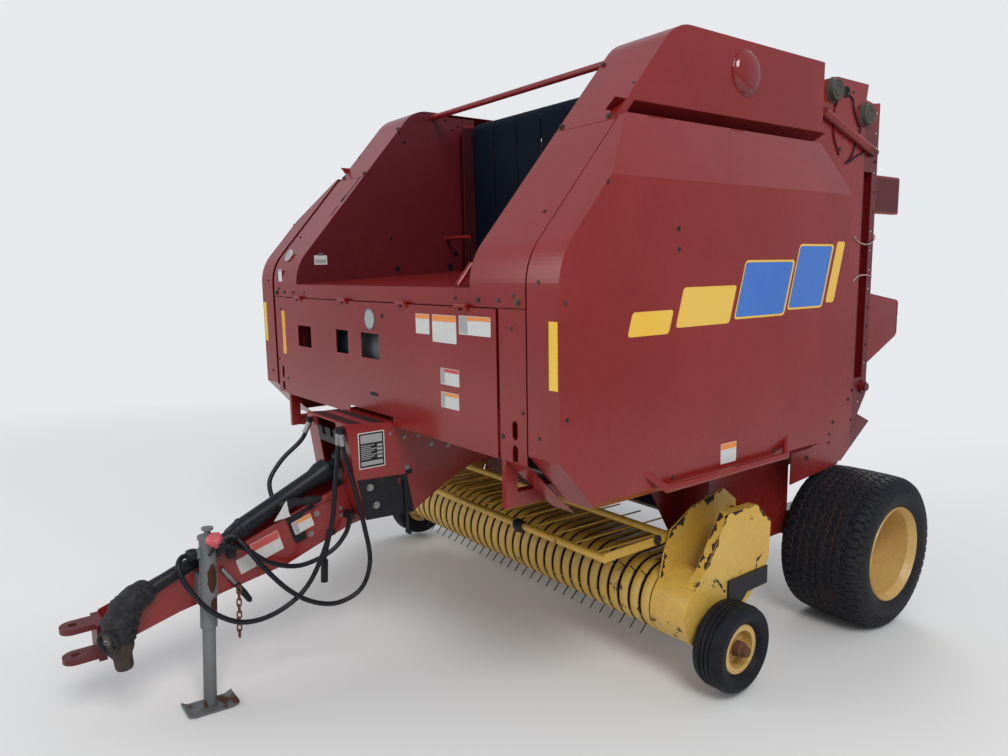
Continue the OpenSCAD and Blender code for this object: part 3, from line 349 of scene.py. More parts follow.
def make_tread_rubber():
    """Tyre rubber with rust red dirt in the grooves."""
    m = weathered("tyre_tread", (0.006, 0.008, 0.013), (0.014, 0.017, 0.022), 0.7, 0.22, 0.55, (0.14, 0.1, 0.08),
        bump=0.35, specular=0.15)
    b, shader, color, where = opened(m)
    groove = b.node("ShaderNodeAttribute", _attribute_name="groove").outputs["Fac"]
    share = b.times(groove, b.ramp(b.noise(where, 6, 6, 0.6), 0.4, 0.62), True)
    b.feed(shader, "Base Color", b.mix(b.times(share, 0.8), color, (0.13, 0.055, 0.028, 1)))
    return m


POST_FRONT, BAND_PITCH = (0, 2562, 2000), 0.069871
twine = finishes["twine"] = make_twine()
tread_rubber = make_tread_rubber()
special = {"pickup_bands": make_band_paint_with_edge_shade(), "gate_frame": make_gate_paint_with_post_shade(), "jack_sleeve": make_jack_paint()}
for part in frame["record"]["subparts"]:
    materials = frame["nodes"][part["node"]].data.materials
    materials.clear()
    materials.append(special.get(part["node"], finishes[part["material_slot"]]))


# Mesh helpers; points are in millimetres of the level frame
MERGE_DISTANCE, TURNED_SHARP, SWEPT_SHARP = 0.00002, 38, 42


def mesh_object(name, verts, faces, material, body, smooth=False):
    mesh = bpy.data.meshes.new(name)
    mesh.from_pydata([at(*v) for v in verts], [], faces)
    mesh.materials.append(material)
    if smooth:
        mesh.shade_smooth()
    obj = added(name, mesh)
    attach(obj, body)
    return obj


def cleaned(obj, angle):
    """Merges doubles, turns the faces outward and keeps the edges above an angle in degrees sharp."""
    bm = bmesh.new()
    bm.from_mesh(obj.data)
    bmesh.ops.remove_doubles(bm, verts=bm.verts, dist=MERGE_DISTANCE)
    bmesh.ops.recalc_face_normals(bm, faces=bm.faces)
    bm.to_mesh(obj.data)
    bm.free()
    obj.data.set_sharp_from_angle(angle=radians(angle))
    return obj


def smooth_route(points, steps):
    """The same smooth curve through chosen points that the hoses' solids follow."""
    line = []
    for i in range(len(points) - 1):
        a, b = Vector(points[max(i - 1, 0)]), Vector(points[i])
        c, d = Vector(points[i + 1]), Vector(points[min(i + 2, len(points) - 1)])
        for j in range(steps):
            t = j / steps
            line.append(0.5 * (2 * b + t * (c - a) + t * t * (2 * a - 5 * b + 4 * c - d)
                + t ** 3 * (3 * b - a - 3 * c + d)))
    line.append(Vector(points[-1]))
    return line


HOSES = {
    "hose_front": [(165, -262, 1290), (168, -268, 1215), (182, -296, 1080), (195, -326, 895), (202, -399, 720),
        (208, -492, 600), (216, -635, 540), (222, -776, 550), (222, -896, 635), (210, -975, 755), (182, -1000, 840),
        (150, -978, 868), (144, -946, 868)],
    "hose_rear": [(195, -262, 1290), (208, -258, 1205), (240, -227, 1035), (250, -195, 860), (250, -172, 683),
        (247, -219, 558), (241, -333, 517), (237, -453, 552), (233, -565, 640), (214, -667, 770), (170, -735, 880),
        (122, -758, 900), (100, -762, 842)],
    "hose_low": [(144, -800, 868), (146, -770, 864), (142, -710, 838), (134, -604, 745), (130, -466, 695),
        (130, -317, 723), (128, -235, 790), (120, -200, 862)],
    "hose_return": [(-165, -262, 1290), (-165, -306, 1212), (-162, -412, 1129), (-140, -487, 1041), (-100, -491, 955)],
}
HOSE_R = 0.011


def add_hose(node, route):
    line = [at(*p) for p in smooth_route(route, 5)]
    curve = bpy.data.curves.new(node + "_tube", "CURVE")
    curve.dimensions = "3D"
    curve.bevel_depth = HOSE_R
    curve.bevel_resolution = 5
    curve.use_fill_caps = True
    spline = curve.splines.new("POLY")
    spline.points.add(len(line) - 1)
    for point, place in zip(spline.points, line):
        point.co = (*place, 1)
    curve.materials.append(rubber)
    obj = added(node + "_tube", curve)
    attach(obj, "base")
    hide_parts(node)


for node, route in HOSES.items():
    add_hose(node, route)


# Flat sheets, turned parts and bolts. A plane is the direction across and the one up, seen from outside
LEFT = ((0, 1, 0), (0, 0, 1))
RIGHT = ((0, -1, 0), (0, 0, 1))
FRONT = ((1, 0, 0), (0, 0, 1))
BACK = ((-1, 0, 0), (0, 0, 1))
SLOPE = ((1, 0, 0), (0, 0.6521, 0.7581))
TONGUE = ((0, 0.957, 0.29), (0, -0.29, 0.957))
SIDES = (("left", 1, LEFT), ("right", -1, RIGHT))


def rounded(a0, a1, b0, b1, r):
    """A rectangle with rounded corners, run anticlockwise."""
    points = []
    for a, b, start in ((a1 - r, b0 + r, -90), (a1 - r, b1 - r, 0), (a0 + r, b1 - r, 90), (a0 + r, b0 + r, 180)):
        for turn in (0, 30, 60, 90):
            t = radians(start + turn)
            points.append((a + r * cos(t), b + r * sin(t)))
    return points


def roundel(a, b, r, n=28):
    return [(a + r * cos(2 * pi * i / n), b + r * sin(2 * pi * i / n)) for i in range(n)]


def sheets(name, body, origin, plane, layers):
    """Thin sheets on a flat surface. A layer is an outline along the plane's two directions, or a box with a corner
    radius, its back and front, and its finish. On the right side outlines run rearward too."""
    u, v = Vector(plane[0]).normalized(), Vector(plane[1]).normalized()
    n = u.cross(v)
    used, verts, faces, kinds = [], [], [], []
    for outline, back, front, finish in layers:
        if isinstance(outline[0], (int, float)):
            outline = rounded(*outline)
        if u.y < 0:
            outline = [(-a, b) for a, b in reversed(outline)]
        if finish not in used:
            used.append(finish)
        s, k = len(verts), len(outline)
        for depth in (back, front):
            verts += [tuple(Vector(origin) + u * a + v * b + n * depth) for a, b in outline]
        faces += [tuple(s + k + i for i in range(k)), tuple(s + i for i in reversed(range(k)))]
        faces += [(s + i, s + (i + 1) % k, s + k + (i + 1) % k, s + k + i) for i in range(k)]
        kinds += [used.index(finish)] * (k + 2)
    obj = mesh_object(name, verts, faces, used[0], body)
    for finish in used[1:]:
        obj.data.materials.append(finish)
    obj.data.polygons.foreach_set("material_index", kinds)
    return obj


def turned(name, body, material, centre, profile, side=1, steps=64, axes=((1, 0, 0), (0, 1, 0), (0, 0, 1))):
    """A profile of (distance along the axis, radius) turned about the first of the axes through centre."""
    along, p, q = (Vector(v) for v in axes)
    verts, faces = [], []
    k = len(profile)
    for i in range(steps):
        t = 2 * pi * i / steps
        verts += [Vector(centre) + along * side * d + (p * cos(t) + q * sin(t)) * r for d, r in profile]
        a, b = i * k, (i + 1) % steps * k
        faces += [(a + j, b + j, b + j + 1, a + j + 1) for j in range(k - 1)]
    return cleaned(mesh_object(name, verts, faces, material, body, True), TURNED_SHARP)


def swept(name, body, material, route, radii, steps=28, wrinkle=0.0, bite=None, seed=0.0):
    """A closed round form along a route. Wrinkle creases it, and bite pulls the last rings back on one side."""
    line = [Vector(p) for p in route]
    verts, faces = [], []
    side = Vector((1, 0, 0)) if abs((line[1] - line[0]).normalized().x) < 0.9 else Vector((0, 1, 0))
    for i, (p, radius) in enumerate(zip(line, radii)):
        ahead = (line[min(i + 1, len(line) - 1)] - line[max(i - 1, 0)]).normalized()
        side = (side - ahead * side.dot(ahead)).normalized()
        other = ahead.cross(side)
        for j in range(steps):
            a = 2 * pi * j / steps
            out = side * cos(a) + other * sin(a)
            crease = sin(3 * a + 1.9 * i + seed) * sin(1.3 * i + 2 * a)
            crease += 0.5 * sin(7 * a - 2.3 * i + seed)
            point = p + out * radius * (1 + wrinkle * crease)
            if bite:
                share = max(0.0, out.dot(Vector(bite[0]).normalized())) ** 2 * max(0.0, (i + 3 - len(line)) / 2)
                point -= ahead * bite[1] * share
            verts.append(point)
    n = len(line)
    for i in range(n - 1):
        for j in range(steps):
            a, b = i * steps + j, i * steps + (j + 1) % steps
            faces.append((a, b, b + steps, a + steps))
    faces += [tuple(reversed(range(steps))), tuple(range((n - 1) * steps, n * steps))]
    return cleaned(mesh_object(name, verts, faces, material, body, True), SWEPT_SHARP)


# Head, washer and stud of a bolt: corners, radius, height and the height of its middle
BOLT_PARTS = ((6, 1.0, 0.62, 0.47), (20, 1.4, 0.36, 0), (12, 0.55, 0.3, 0.88))


def make_bolt_tree():
    """A bolt on each place, turned to its facing and scaled to its size."""
    g = bpy.data.node_groups.new("hex_bolts", "GeometryNodeTree")
    for label, way in (("Places", "INPUT"), ("Bolts", "OUTPUT")):
        g.interface.new_socket(name=label, in_out=way, socket_type="NodeSocketGeometry")
    b = Build(g)
    join = b.node("GeometryNodeJoinGeometry")
    for corners, radius, depth, lift in BOLT_PARTS:
        part = b.node("GeometryNodeMeshCylinder", Vertices=corners, Radius=radius, Depth=depth).outputs["Mesh"]
        g.links.new(b.node("GeometryNodeTransform", Geometry=part, Translation=(0, 0, lift)).outputs[0], join.inputs[0])
    facing = b.node("GeometryNodeInputNamedAttribute", _data_type="FLOAT_VECTOR", Name="facing").outputs[0]
    size = b.node("GeometryNodeInputNamedAttribute", _data_type="FLOAT", Name="size").outputs[0]
    turn = b.node("FunctionNodeAlignRotationToVector", _axis="Z", Vector=facing).outputs[0]
    spread = b.node("GeometryNodeInstanceOnPoints", Points=b.node("NodeGroupInput").outputs[0],
        Instance=join.outputs[0], Rotation=turn, Scale=size).outputs[0]
    b.feed(b.node("NodeGroupOutput"), "Bolts", b.node("GeometryNodeRealizeInstances", Geometry=spread).outputs[0])
    return g


bolt_tree = make_bolt_tree()


def bolts(name, body, finish, places):
    """Hex bolts on washers. A place is a point, a direction and the head's radius."""
    mesh = bpy.data.meshes.new(name + "_places")
    mesh.from_pydata([at(*p) for p, d, r in places], [], [])
    turn = parked.to_3x3()
    mesh.attributes.new("facing", "FLOAT_VECTOR", "POINT")
    mesh.attributes.new("size", "FLOAT", "POINT")
    for i, (p, d, r) in enumerate(places):
        mesh.attributes["facing"].data[i].vector = turn @ Vector(d)
        mesh.attributes["size"].data[i].value = r / 1000
    holder = added(name + "_places", mesh)
    holder.modifiers.new("bolts", "NODES").node_group = bolt_tree
    made = bpy.data.meshes.new_from_object(holder.evaluated_get(bpy.context.evaluated_depsgraph_get()))
    bpy.data.objects.remove(holder)
    made.name = name
    made.materials.clear()
    made.materials.append(finish)
    for label in ("facing", "size"):
        if label in made.attributes:
            made.attributes.remove(made.attributes[label])
    obj = added(name, made)
    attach(obj, body)


def both_sides(places):
    return places + [((-p[0], p[1], p[2]), (-d[0], d[1], d[2]), r) for p, d, r in places]


def notice(a0, a1, b0, b1, head, share, wide=0.0):
    """A blank plate with a coloured band along its top, and a grey field over a part of its width."""
    layers = [((a0, a1, b0, b1, 4), -0.2, 0.6, pale),
        ((a0 + 2, a1 - 2, b1 - (b1 - b0) * share, b1 - 2, 2), 0.5, 0.9, head)]
    if wide:
        layers.append(((a0 + 4, a0 + (a1 - a0) * wide - 4, b0 + 4, b1 - 4, 2), 0.5, 1.0, grey))
    return layers


# Balls of twine behind the door's windows
half = [(60, 0.01), (60, 20), (0, 22), (0, 112), (4, 130), (12, 136.5)]
for name, a, b in (("middle", -500, -206), ("near", -196, 162)):
    ball = turned("twine_ball_" + name, "base", twine, (0, 180, 1635),
        [(a + d, r) for d, r in half] + [(b - d, r) for d, r in reversed(half)], 1, 56)
    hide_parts("twine_balls")


# Plates on the door, the shields, the box, the tongue and the walls
def add_door_plates():
    layers = []
    for box, head, wide in (((464, 576, 1755, 1842), orange, 0), ((600, 782, 1727, 1843), orange, 0),
            ((803, 1018, 1770, 1846), orange, 0.3), ((655, 795, 1550, 1620), red, 0.25),
            ((655, 790, 1451, 1519), orange, 0.25)):
        layers += notice(*box, head, 0.24, wide)
    layers += [(roundel(31, 1798, 53, 32), -0.2, 2.5, shaded_zinc), (roundel(31, 1798, 46, 32), 2.0, 3.2, grey)]
    layers.append(((142, 168, 1808, 1828, 2), -0.2, 0.5, black))
    layers += [((10 + i * 26, 30 + i * 26, 1424, 1440, 6), -0.2, 3, black) for i in range(3)]
    sheets("door_plates", "front_door", (0, -8, 0), FRONT, layers)


add_door_plates()


def reflector(a0, a1, b0, b1, parts, finish):
    """A strip of moulded segments on a thin base."""
    step = (b1 - b0) / parts
    layers = [((a0, a1, b0, b1, 2), -0.2, 1.0, finish)]
    return layers + [((a0 + 3, a1 - 3, b0 + i * step + 2, b0 + (i + 1) * step - 2, 2), 0.9, 2.4, finish)
        for i in range(parts)]


sheets("strip_reflector_right", "base", (0, 0, 0), FRONT,
    reflector(-1124, -1074, 1540, 1800, 5, strip_orange))


def slanted(a0, a1, b0, b1, r=16):
    """A bar with slanted ends and rounded corners."""
    lean = (b1 - b0) * 0.3
    corners = [(a0, b0), (a1, b0), (a1 + lean, b1), (a0 + lean, b1)]
    points = []
    for i in range(4):
        p, c, n = Vector(corners[i - 1]), Vector(corners[i]), Vector(corners[(i + 1) % 4])
        u, v = (p - c).normalized(), (n - c).normalized()
        for j in range(5):
            t = j / 4
            points.append(tuple((c + u * r) * (1 - t) ** 2 + c * 2 * t * (1 - t) + (c + v * r) * t * t))
    return points


for name, side, plane in SIDES:
    sheets("reflector_" + name, "shield_" + name, (0, -6, 0), FRONT,
        reflector(side * 1379 - 23, side * 1379 + 23, 1604, 1846, 11, strip_yellow))
    layers = []
    for a0, a1, b0, b1, paint in ((330, 560, 1770, 1862, yellow), (600, 940, 1790, 1946, yellow),
            (980, 1330, 1812, 2040, blue), (1370, 1640, 1834, 2110, blue), (1680, 1750, 1846, 2132, yellow)):
        layers.append((slanted(a0, a1, b0, b1), -0.2, 0.5, paint))
        if paint is blue:
            layers.insert(0, (slanted(a0 - 9, a1 + 9, b0 - 9, b1 + 9, 20), -0.2, 0.3, yellow))
    sheets("side_design_" + name, "shield_" + name, (side * 1410, 0, 0), plane,
        layers + notice(905, 1013, 1189, 1277, orange, 0.3))
fields = [(-180, -68, 1236, 1276, 3), (-180, -68, 1130, 1150, 3)]
fields += [(-180, -128 + 18 * (i % 3), 1160 + i * 9, 1164 + i * 9, 1.5) for i in range(8)]
fields += [(-96, -68, 1160 + i * 18, 1172 + i * 18, 1.5) for i in range(4)]
sheets("box_plate", "base", (220, 0, 0), LEFT, [((-192, -56, 1116, 1288, 4), -0.2, 1.2, pale),
    ((-187, -61, 1121, 1283, 3), 1.0, 1.6, black)] + [(field, 1.5, 1.9, grey) for field in fields])
sheets("tongue_plates", "base", (75, -420, 860), TONGUE,
    [((-62, 82, -62, 72, 14), -0.2, 6, black)]
    + [(outline, back + 6, front + 6, m) for outline, back, front, m in notice(-48, 50, -22, 42, orange, 0.3, 0.3)]
    + notice(-250, -116, -54, 42, red, 0.4) + notice(-330, -256, -66, 6, pale, 0.2))
sheets("wall_plates", "base", (-871, 0, 0), LEFT, [((116, 196, 2070, 2124, 3), -0.2, 1.0, pale),
    ((122, 190, 2078, 2100, 2), 0.9, 1.3, grey), ((140, 172, 2122, 2136, 3), -0.2, 2.0, shaded_zinc)])
sheets("step_mats", "base", (0, -250, 1338), ((1, 0, 0), (0, 1, -0.0825)),
    [((-205, 205, 22 + i * 118, 84 + i * 118, 4), -0.2, 1.6, black) for i in range(2)])

# Seams, shaded edges, slots and marks
sheets("seam_lines", "base", (0, 0, 0), FRONT,
    [((s * 1140 - 78, s * 1140 + 78, 1882, 1885.5, 1), -0.2, 0.4, dark) for s in (-1, 1)])
for name, side, plane in SIDES:
    for part, inner, outer, y, z0, z1, r, front in (("wall", 809, 870, 1180, 1304, 2896, 3, 1.2),
            ("side", 800.5, 807.5, 1140, 904, 2936, 1, 1.0)):
        a, b = sorted((side * inner, side * outer))
        sheets(f"{part}_edge_{name}", "base", (0, y, 0), FRONT,
            [((a, b, z0, z1, r), -0.2, front, shade)])
for name, x, plane in (("far", -800, LEFT), ("near", 800, RIGHT)):
    sheets("wall_shade_" + name, "base", (x, 0, 0), plane,
        [((1142, 1300, 1304, 2932, 3), -0.2, 0.8, shade)])
# A black sheet behind the left window, painted shade in the pocket there
sheets("pocket_shadow_sheet", "base", (0, 60, 0), FRONT, [((-866, -600, 1490, 1790, 3), -2, 2, dark)])
sheets("far_slots", "base", (0, 0, 2059), SLOPE, [(box, -0.2, 0.5, dark) for box in
    ((-924, -912, 500, 712, 5), (-940, -929, 500, 560, 4), (-930, -919, 392, 474, 4))])
sheets("far_badge", "base", (0, 14, 2075), ((1, 0, 0), (0, 0.45, 0.893)),
    [(roundel(-1070, 62, 37, 32), -6, 1.0, pale), (roundel(-1070, 62, 30.34, 32), 0.9, 1.8, grey)])
sheets("far_plate", "base", (0, 0, 0), FRONT, notice(-1142, -1086, 1975, 2048, grey, 0.2))
cover = [(-404, 790), (-398, 786), (-228, 846), (-225, 852), (-244, 958), (-250, 964), (-410, 922), (-424, 903)]
sheets("tongue_cover", "base", (75, 0, 0), LEFT, [(cover, 4.5, 6.2, maroon)])
sheets("wall_marks", "base", (-871, 0, 0), LEFT, [(roundel(y, z, r, 16), -0.2, 0.5, dark)
    for y, z, r in ((747, 2812, 9), (714, 2869, 8), (1104, 2920, 8), (1150, 2945, 8), (1056, 2975, 8), (631, 2227, 8),
    (1110, 2135, 17), (667, 2038, 19), (1065, 2046, 24))])


# Fasteners, each a place, the way it faces and the radius of its head
SIDEWAYS, FORWARD = (1, 0, 0), (0, -1, 0)
STRIP_FACING = (0, -sin(radians(49.3)), cos(radians(49.3)))
STRIP_FOOT, STRIP_RISE = 2059, 1.1626
places = [((x, 0, z), FORWARD, r) for x, z, r in ((926, 1912, 9), (1176, 1908, 11), (1060, 1912, 8), (1150, 1932, 7),
    (769, 1914, 6), (1136, 1811, 6), (1075, 1392, 8), (1200, 1500, 6))]
places += [((x, (z - STRIP_FOOT) / STRIP_RISE, z), STRIP_FACING, r) for x, z, r in ((893, 2612, 11),
    (1170, 2612, 11), (893, 2894, 10), (1185, 2750, 5), (1150, 2240, 6))]
bolts("front_bolts", "base", dull, both_sides(places))
places = both_sides([((220, y, z), SIDEWAYS, r) for y, z, r in ((55, 1238, 7), (130, 1233, 7), (60, 1085, 9),
    (-23, 1262, 5), (200, 1180, 9), (300, 1160, 9), (320, 1240, 7))])
places += [((x, y, z), SIDEWAYS, r) for x, y, z, r in ((226, -143, 1024, 12), (226, -114, 933, 12), (81, -352, 905, 10),
    (81, -385, 815, 10), (75, -229, 905, 8), (75, -229, 870, 8))]
bolts("box_bolts", "base", steel, places)
for name, side, plane in SIDES:
    places = [((side * 1410, y, z), (side, 0, 0), r) for y, z, r in ((26, 1909, 6), (228, 2327, 6), (30, 1500, 6),
        (610, 2172, 7), (616, 2094, 7), (1800, 1250, 7), (600, 1190, 7), (1300, 1190, 7))]
    places += [((side * 1300, -6, z), FORWARD, 6) for z in (1420, 1980)]
    bolts("shield_bolts_" + name, "shield_" + name, dull, places)
BEARINGS = (("front", 2207, 2935), ("rear", 2550, 2845))
places = [((1100, y, z), SIDEWAYS, r) for y, z, r in ((2100, 960, 11), (2560, 1290, 8), (2520, 1240, 8),
    (2300, 2640, 9), (2690, 2600, 7), (2640, 2660, 9), (2480, 2880, 7), (2420, 2950, 6), (2330, 1010, 7),
    (2330, 1060, 7))]
places += [((1060, y, z), SIDEWAYS, r) for y, z, r in ((2600, 1479, 15), (2590, 2300, 8), (2640, 2300, 8),
    (2600, 1900, 8), (2610, 1700, 8), (2596, 2420, 7))]
places += [((1112, y + 40 * cos(a), z + 40 * sin(a)), SIDEWAYS, 7) for part, y, z in BEARINGS
    for a in (0.5, 2.07, 3.64, 5.21)]
bolts("gate_bolts", "tailgate", dull, both_sides(places))


# Driveline: gearbox, shield tube with its flared guards, and the hanging joint under a creased boot
def add_driveline():
    box = [(-200, 954), (-200, 1140), (-150, 1208), (60, 1208), (60, 1041)]
    face = [(-190, 965), (-190, 1136), (-146, 1200), (50, 1200), (50, 1052)]
    pieces = [sheets("driveline_gearbox", "base", (0, 0, 0), LEFT,
        [(box, -60, 60, black), (face, -62, -59, black), (face, 59, 62, black)])]
    tube = [(-15, -192, 1111), (-10, -236, 1092.5), (-8, -252, 1086), (-4, -290, 1070), (0, -330, 1053),
        (20, -510, 978), (38, -680, 907), (38.5, -684, 905.5), (40, -695, 901), (40.5, -699, 899.5), (42, -712, 894),
        (46, -748, 879), (47, -752, 877)]
    pieces.append(swept("driveline_tube", "base", black, tube,
        [24, 24, 56, 55, 43, 42, 42, 46, 46, 43, 40, 34, 30], 36))
    inner = [(44, -730, 887), (62, -890, 812), (80, -1002, 778), (90, -1085, 748), (91, -1089, 747), (95, -1110, 739),
        (98, -1122, 735)]
    pieces.append(swept("driveline_inner_tube", "base", black, inner, [29, 29, 29, 30, 36, 40, 42], 32))
    boot = smooth_route([(94, -1104, 742), (100, -1122, 740), (106, -1138, 738), (112, -1158, 730), (118, -1178, 716),
        (124, -1198, 696), (128, -1212, 674), (131, -1222, 650), (133, -1229, 625), (134, -1232, 598),
        (135, -1232, 578)], 4)
    size = [46, 55, 50, 60, 57, 68, 61, 72, 63, 66, 60]
    radii = [size[i // 4] + (size[min(i // 4 + 1, 10)] - size[i // 4]) * (i % 4) / 4 for i in range(41)]
    pieces.append(swept("driveline_boot", "base", boot_rubber, boot, radii, 72, 0.055,
        ((0.6, -0.8, -0.1), 66)))
    joint = [(129, -1216, 668), (133, -1229, 620), (135, -1233, 580), (136, -1232, 556), (137.5, -1230, 540),
        (138.5, -1228, 526), (139, -1227, 518), (140, -1226, 512), (141.5, -1223.5, 478), (142, -1223, 470),
        (142.2, -1222.6, 462)]
    pieces.append(swept("driveline_yoke", "base", shaft_iron, joint,
        [48, 52, 54, 54, 50, 42, 38, 36, 35, 34, 30], 40))
    out = Vector((0.6, -0.8, -0.12)).normalized()
    up = (Vector((0, 0, 1)) - out * out.z).normalized()
    seat = Vector((133, -1229, 604)) + out * 63
    cap = [(-20, 46), (-6, 51), (3, 50), (6, 46), (5, 41), (-4, 39), (-8, 30), (-8.5, 4)]
    pieces.append(turned("driveline_cross", "base", boot_rubber, seat, cap, 1, 40,
        (out, up.cross(out), up)))
    arm = [(-18, 38), (-20, 4), (-17, -8), (-8, -16), (0, -18), (8, -16), (17, -8), (20, 4), (18, 38)]
    # The dark disc behind the fork is painted shade in the boot's opening
    pieces.append(sheets("driveline_fork", "base", tuple(seat), (up.cross(out), up),
        [(roundel(0, 0, 39, 32), -9, -5, dark), (arm, -6, 2, joint_iron), (roundel(0, 5, 13, 24), 1, 5, steel),
        (roundel(0, 5, 8, 24), 4, 6, joint_iron)]))
    for piece in pieces:
        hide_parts("driveline")


add_driveline()

# The hoses' fittings and wraps, the pink cap and the coupler that hangs by the jack
lean = Vector((0.35, -0.25, 0.9)).normalized()
swept("cap_pink", "base", pink,
    [Vector((186, -846, 894)) + lean * d for d in (0, 2, 22, 27, 34, 44, 54, 60, 58, 57)],
    [9, 13, 14, 24, 33, 35, 31, 21, 16, 4], 28, 0.075)
swept("cap_strap", "base", rubber,
    smooth_route([(186, -850, 892), (190, -862, 880), (191, -872, 872), (189, -880, 866)], 4), [6] * 13, 14)
for name, line in (("front", ((-958, 868), (-954, 868), (-936, 868), (-921, 868), (-918, 868))),
        ("rear", ((-843, 868), (-839, 868), (-818, 868), (-798, 867), (-795, 867)))):
    swept("hose_wrap_" + name, "base", rubber, [(144, y, z) for y, z in line], [19, 24, 25, 24, 19],
        28, 0.02)
for name in ("front", "rear", "return"):
    a, b = (Vector(p) for p in HOSES["hose_" + name][:2])
    shape = [(-2, 11.4), (0, 15), (16, 15), (16.5, 12.6), (24, 12.6), (24.5, 14), (52, 14), (53, 13), (54, 11.2)]
    ahead = (b - a).normalized()
    swept("ferrule_" + name, "base", steel, [a + ahead * d for d, r in shape], [r for d, r in shape], 24)
swept("coupler_fitting", "base", steel,
    [(90, -803, 755), (90, -800, 750), (90, -772, 709), (90, -769, 705), (90, -745, 670)], [7, 11, 11, 9, 9], 20)
swept("coupler_boot", "base", rubber,
    [(90, -748, 674), (91, -744, 668), (94, -716, 622), (97, -694, 584), (98, -689, 576)], [9, 13, 15, 13, 6], 20)
swept("tongue_wrap", "base", boot_rubber, [(80, -535, 985), (80, -528, 985), (82, -490, 984),
    (84, -453, 982), (83, -420, 980), (84, -391, 978), (82, -350, 976), (80, -330, 975), (80, -324, 975)],
    [4, 11, 17, 20, 15, 21, 17, 11, 4], 28, 0.2, seed=2.0)
sheets("torn_tag", "base", (0, 0, 0), LEFT,
    [([(-564, 918), (-486, 926), (-494, 952), (-500, 1002), (-512, 990), (-530, 962)], 99, 101, pale)])
sheets("tag_strip", "base", (0, 0, 0), LEFT,
    [([(-500, 1002), (-494, 952), (-470, 968), (-452, 1000), (-476, 992)], 97, 99, black)])
swept("stay_rod", "base", maroon, [(800, -7, 1967), (800, 29, 2009), (800, 65, 2051)], [12] * 3, 16)


def ragged(name, origin, plane, line, width, side, seed):
    """Worn patches of uneven width beside a line on the pickup, to the left of the line where side is 1."""
    points, run = [Vector((*line[0], 0))], 0
    for a, b in zip(line, line[1:]):
        a, b = Vector((*a, 0)), Vector((*b, 0))
        n = max(2, round((b - a).length / 6))
        points += [a.lerp(b, i / n) for i in range(1, n + 1)]
    near, far, wide = [], [], []
    for i, p in enumerate(points):
        ahead = points[min(i + 1, len(points) - 1)] - points[max(i - 1, 0)]
        run += (p - points[max(i - 1, 0)]).length
        out = Vector((-ahead.y, ahead.x, 0)).normalized() * side
        w = 0.22 + 0.42 * sin(run / 41 + seed) + 0.3 * sin(run / 17.3 + 2.1 * seed)
        w = width * max(0.0, w + 0.2 * sin(run / 8.1 + seed) + 0.12 * sin(run / 3.7))
        near.append(tuple((p + out * 0.8)[:2]))
        far.append(tuple((p + out * (1.2 + w))[:2]))
        wide.append(w)
    if side < 0:
        near, far = far, near
    sheets(name, "pickup", origin, plane, [([near[i], near[i + 1], far[i + 1], far[i]], -0.2, 0.5, worn)
        for i in range(len(points) - 1) if wide[i] + wide[i + 1] > 0.8])


# The pickup's worn edges, its dark pan and a dark reel drum as painted shade between the bands, and the windguard's
# bosses and wrap
PLATE_EDGE = [(900, 580), (930, 700), (975, 800), (1130, 880), (1370, 925)]
HOUSE_EDGE = [(905, 580), (985, 650), (1150, 890), (1370, 885), (1490, 782)]
HOUSE_X, HOUSE_LIP = 1285, ((1, 0, 0), (0, 0.567, 0.824))
for name, side, plane in SIDES:
    for part, x, line, width, lie, seed in (("plate", 1092, PLATE_EDGE, 38, -1, side),
            ("house", HOUSE_X, HOUSE_EDGE, 18, -1, 3 * side),
            ("seam", HOUSE_X, [(1010, 640), (1060, 590), (1130, 505)], 20, 1, 4),
            ("rear", HOUSE_X, [(1462, 640), (1380, 612), (1372, 560)], 16, 1, 5)):
        ragged(f"wear_{part}_{name}", (side * x, 0, 0), plane, line, width, lie, seed)
    for part, across, length, width, lie, seed in (("in", -24, 282, 30, -1, 2), ("out", 24, 284, 24, 1, 6)):
        x = side * 1260 + across
        ragged(f"wear_front_{part}_{name}", (0, 985, 650), HOUSE_LIP, [(x, 6), (x, length)], width, lie, seed)
    turned("windguard_boss_" + name, "windguard", shaft_iron, (side * 1070, 900, 760),
        [(0, 0.01), (0, 22), (3, 24), (8, 24), (9, 15), (13, 15), (13.5, 0.01)], side, 24)
swept("wrap_black", "windguard", boot_rubber, [(430, 560, 750), (436, 560, 750), (450, 560, 748),
    (466, 560, 744), (482, 560, 746), (500, 560, 749), (506, 560, 750)], [20, 27, 31, 33, 30, 27, 20], 32, 0.09)
sheets("pickup_pan", "pickup", (0, 1243, 306), ((1, 0, 0), (0, 0.144, 0.9896)),
    [((-1066, 1066, 0, 300, 4), -1.5, 1.5, dark)])
# A dark drum inside the reel, painted shade seen through the gaps between the bands
turned("reel_shade_drum", "reel", dark, (0, 1015, 445),
    [(-1070, 30.5), (-1070, 96), (-1066, 100), (1066, 100), (1070, 96), (1070, 30.5)], 1, 48)

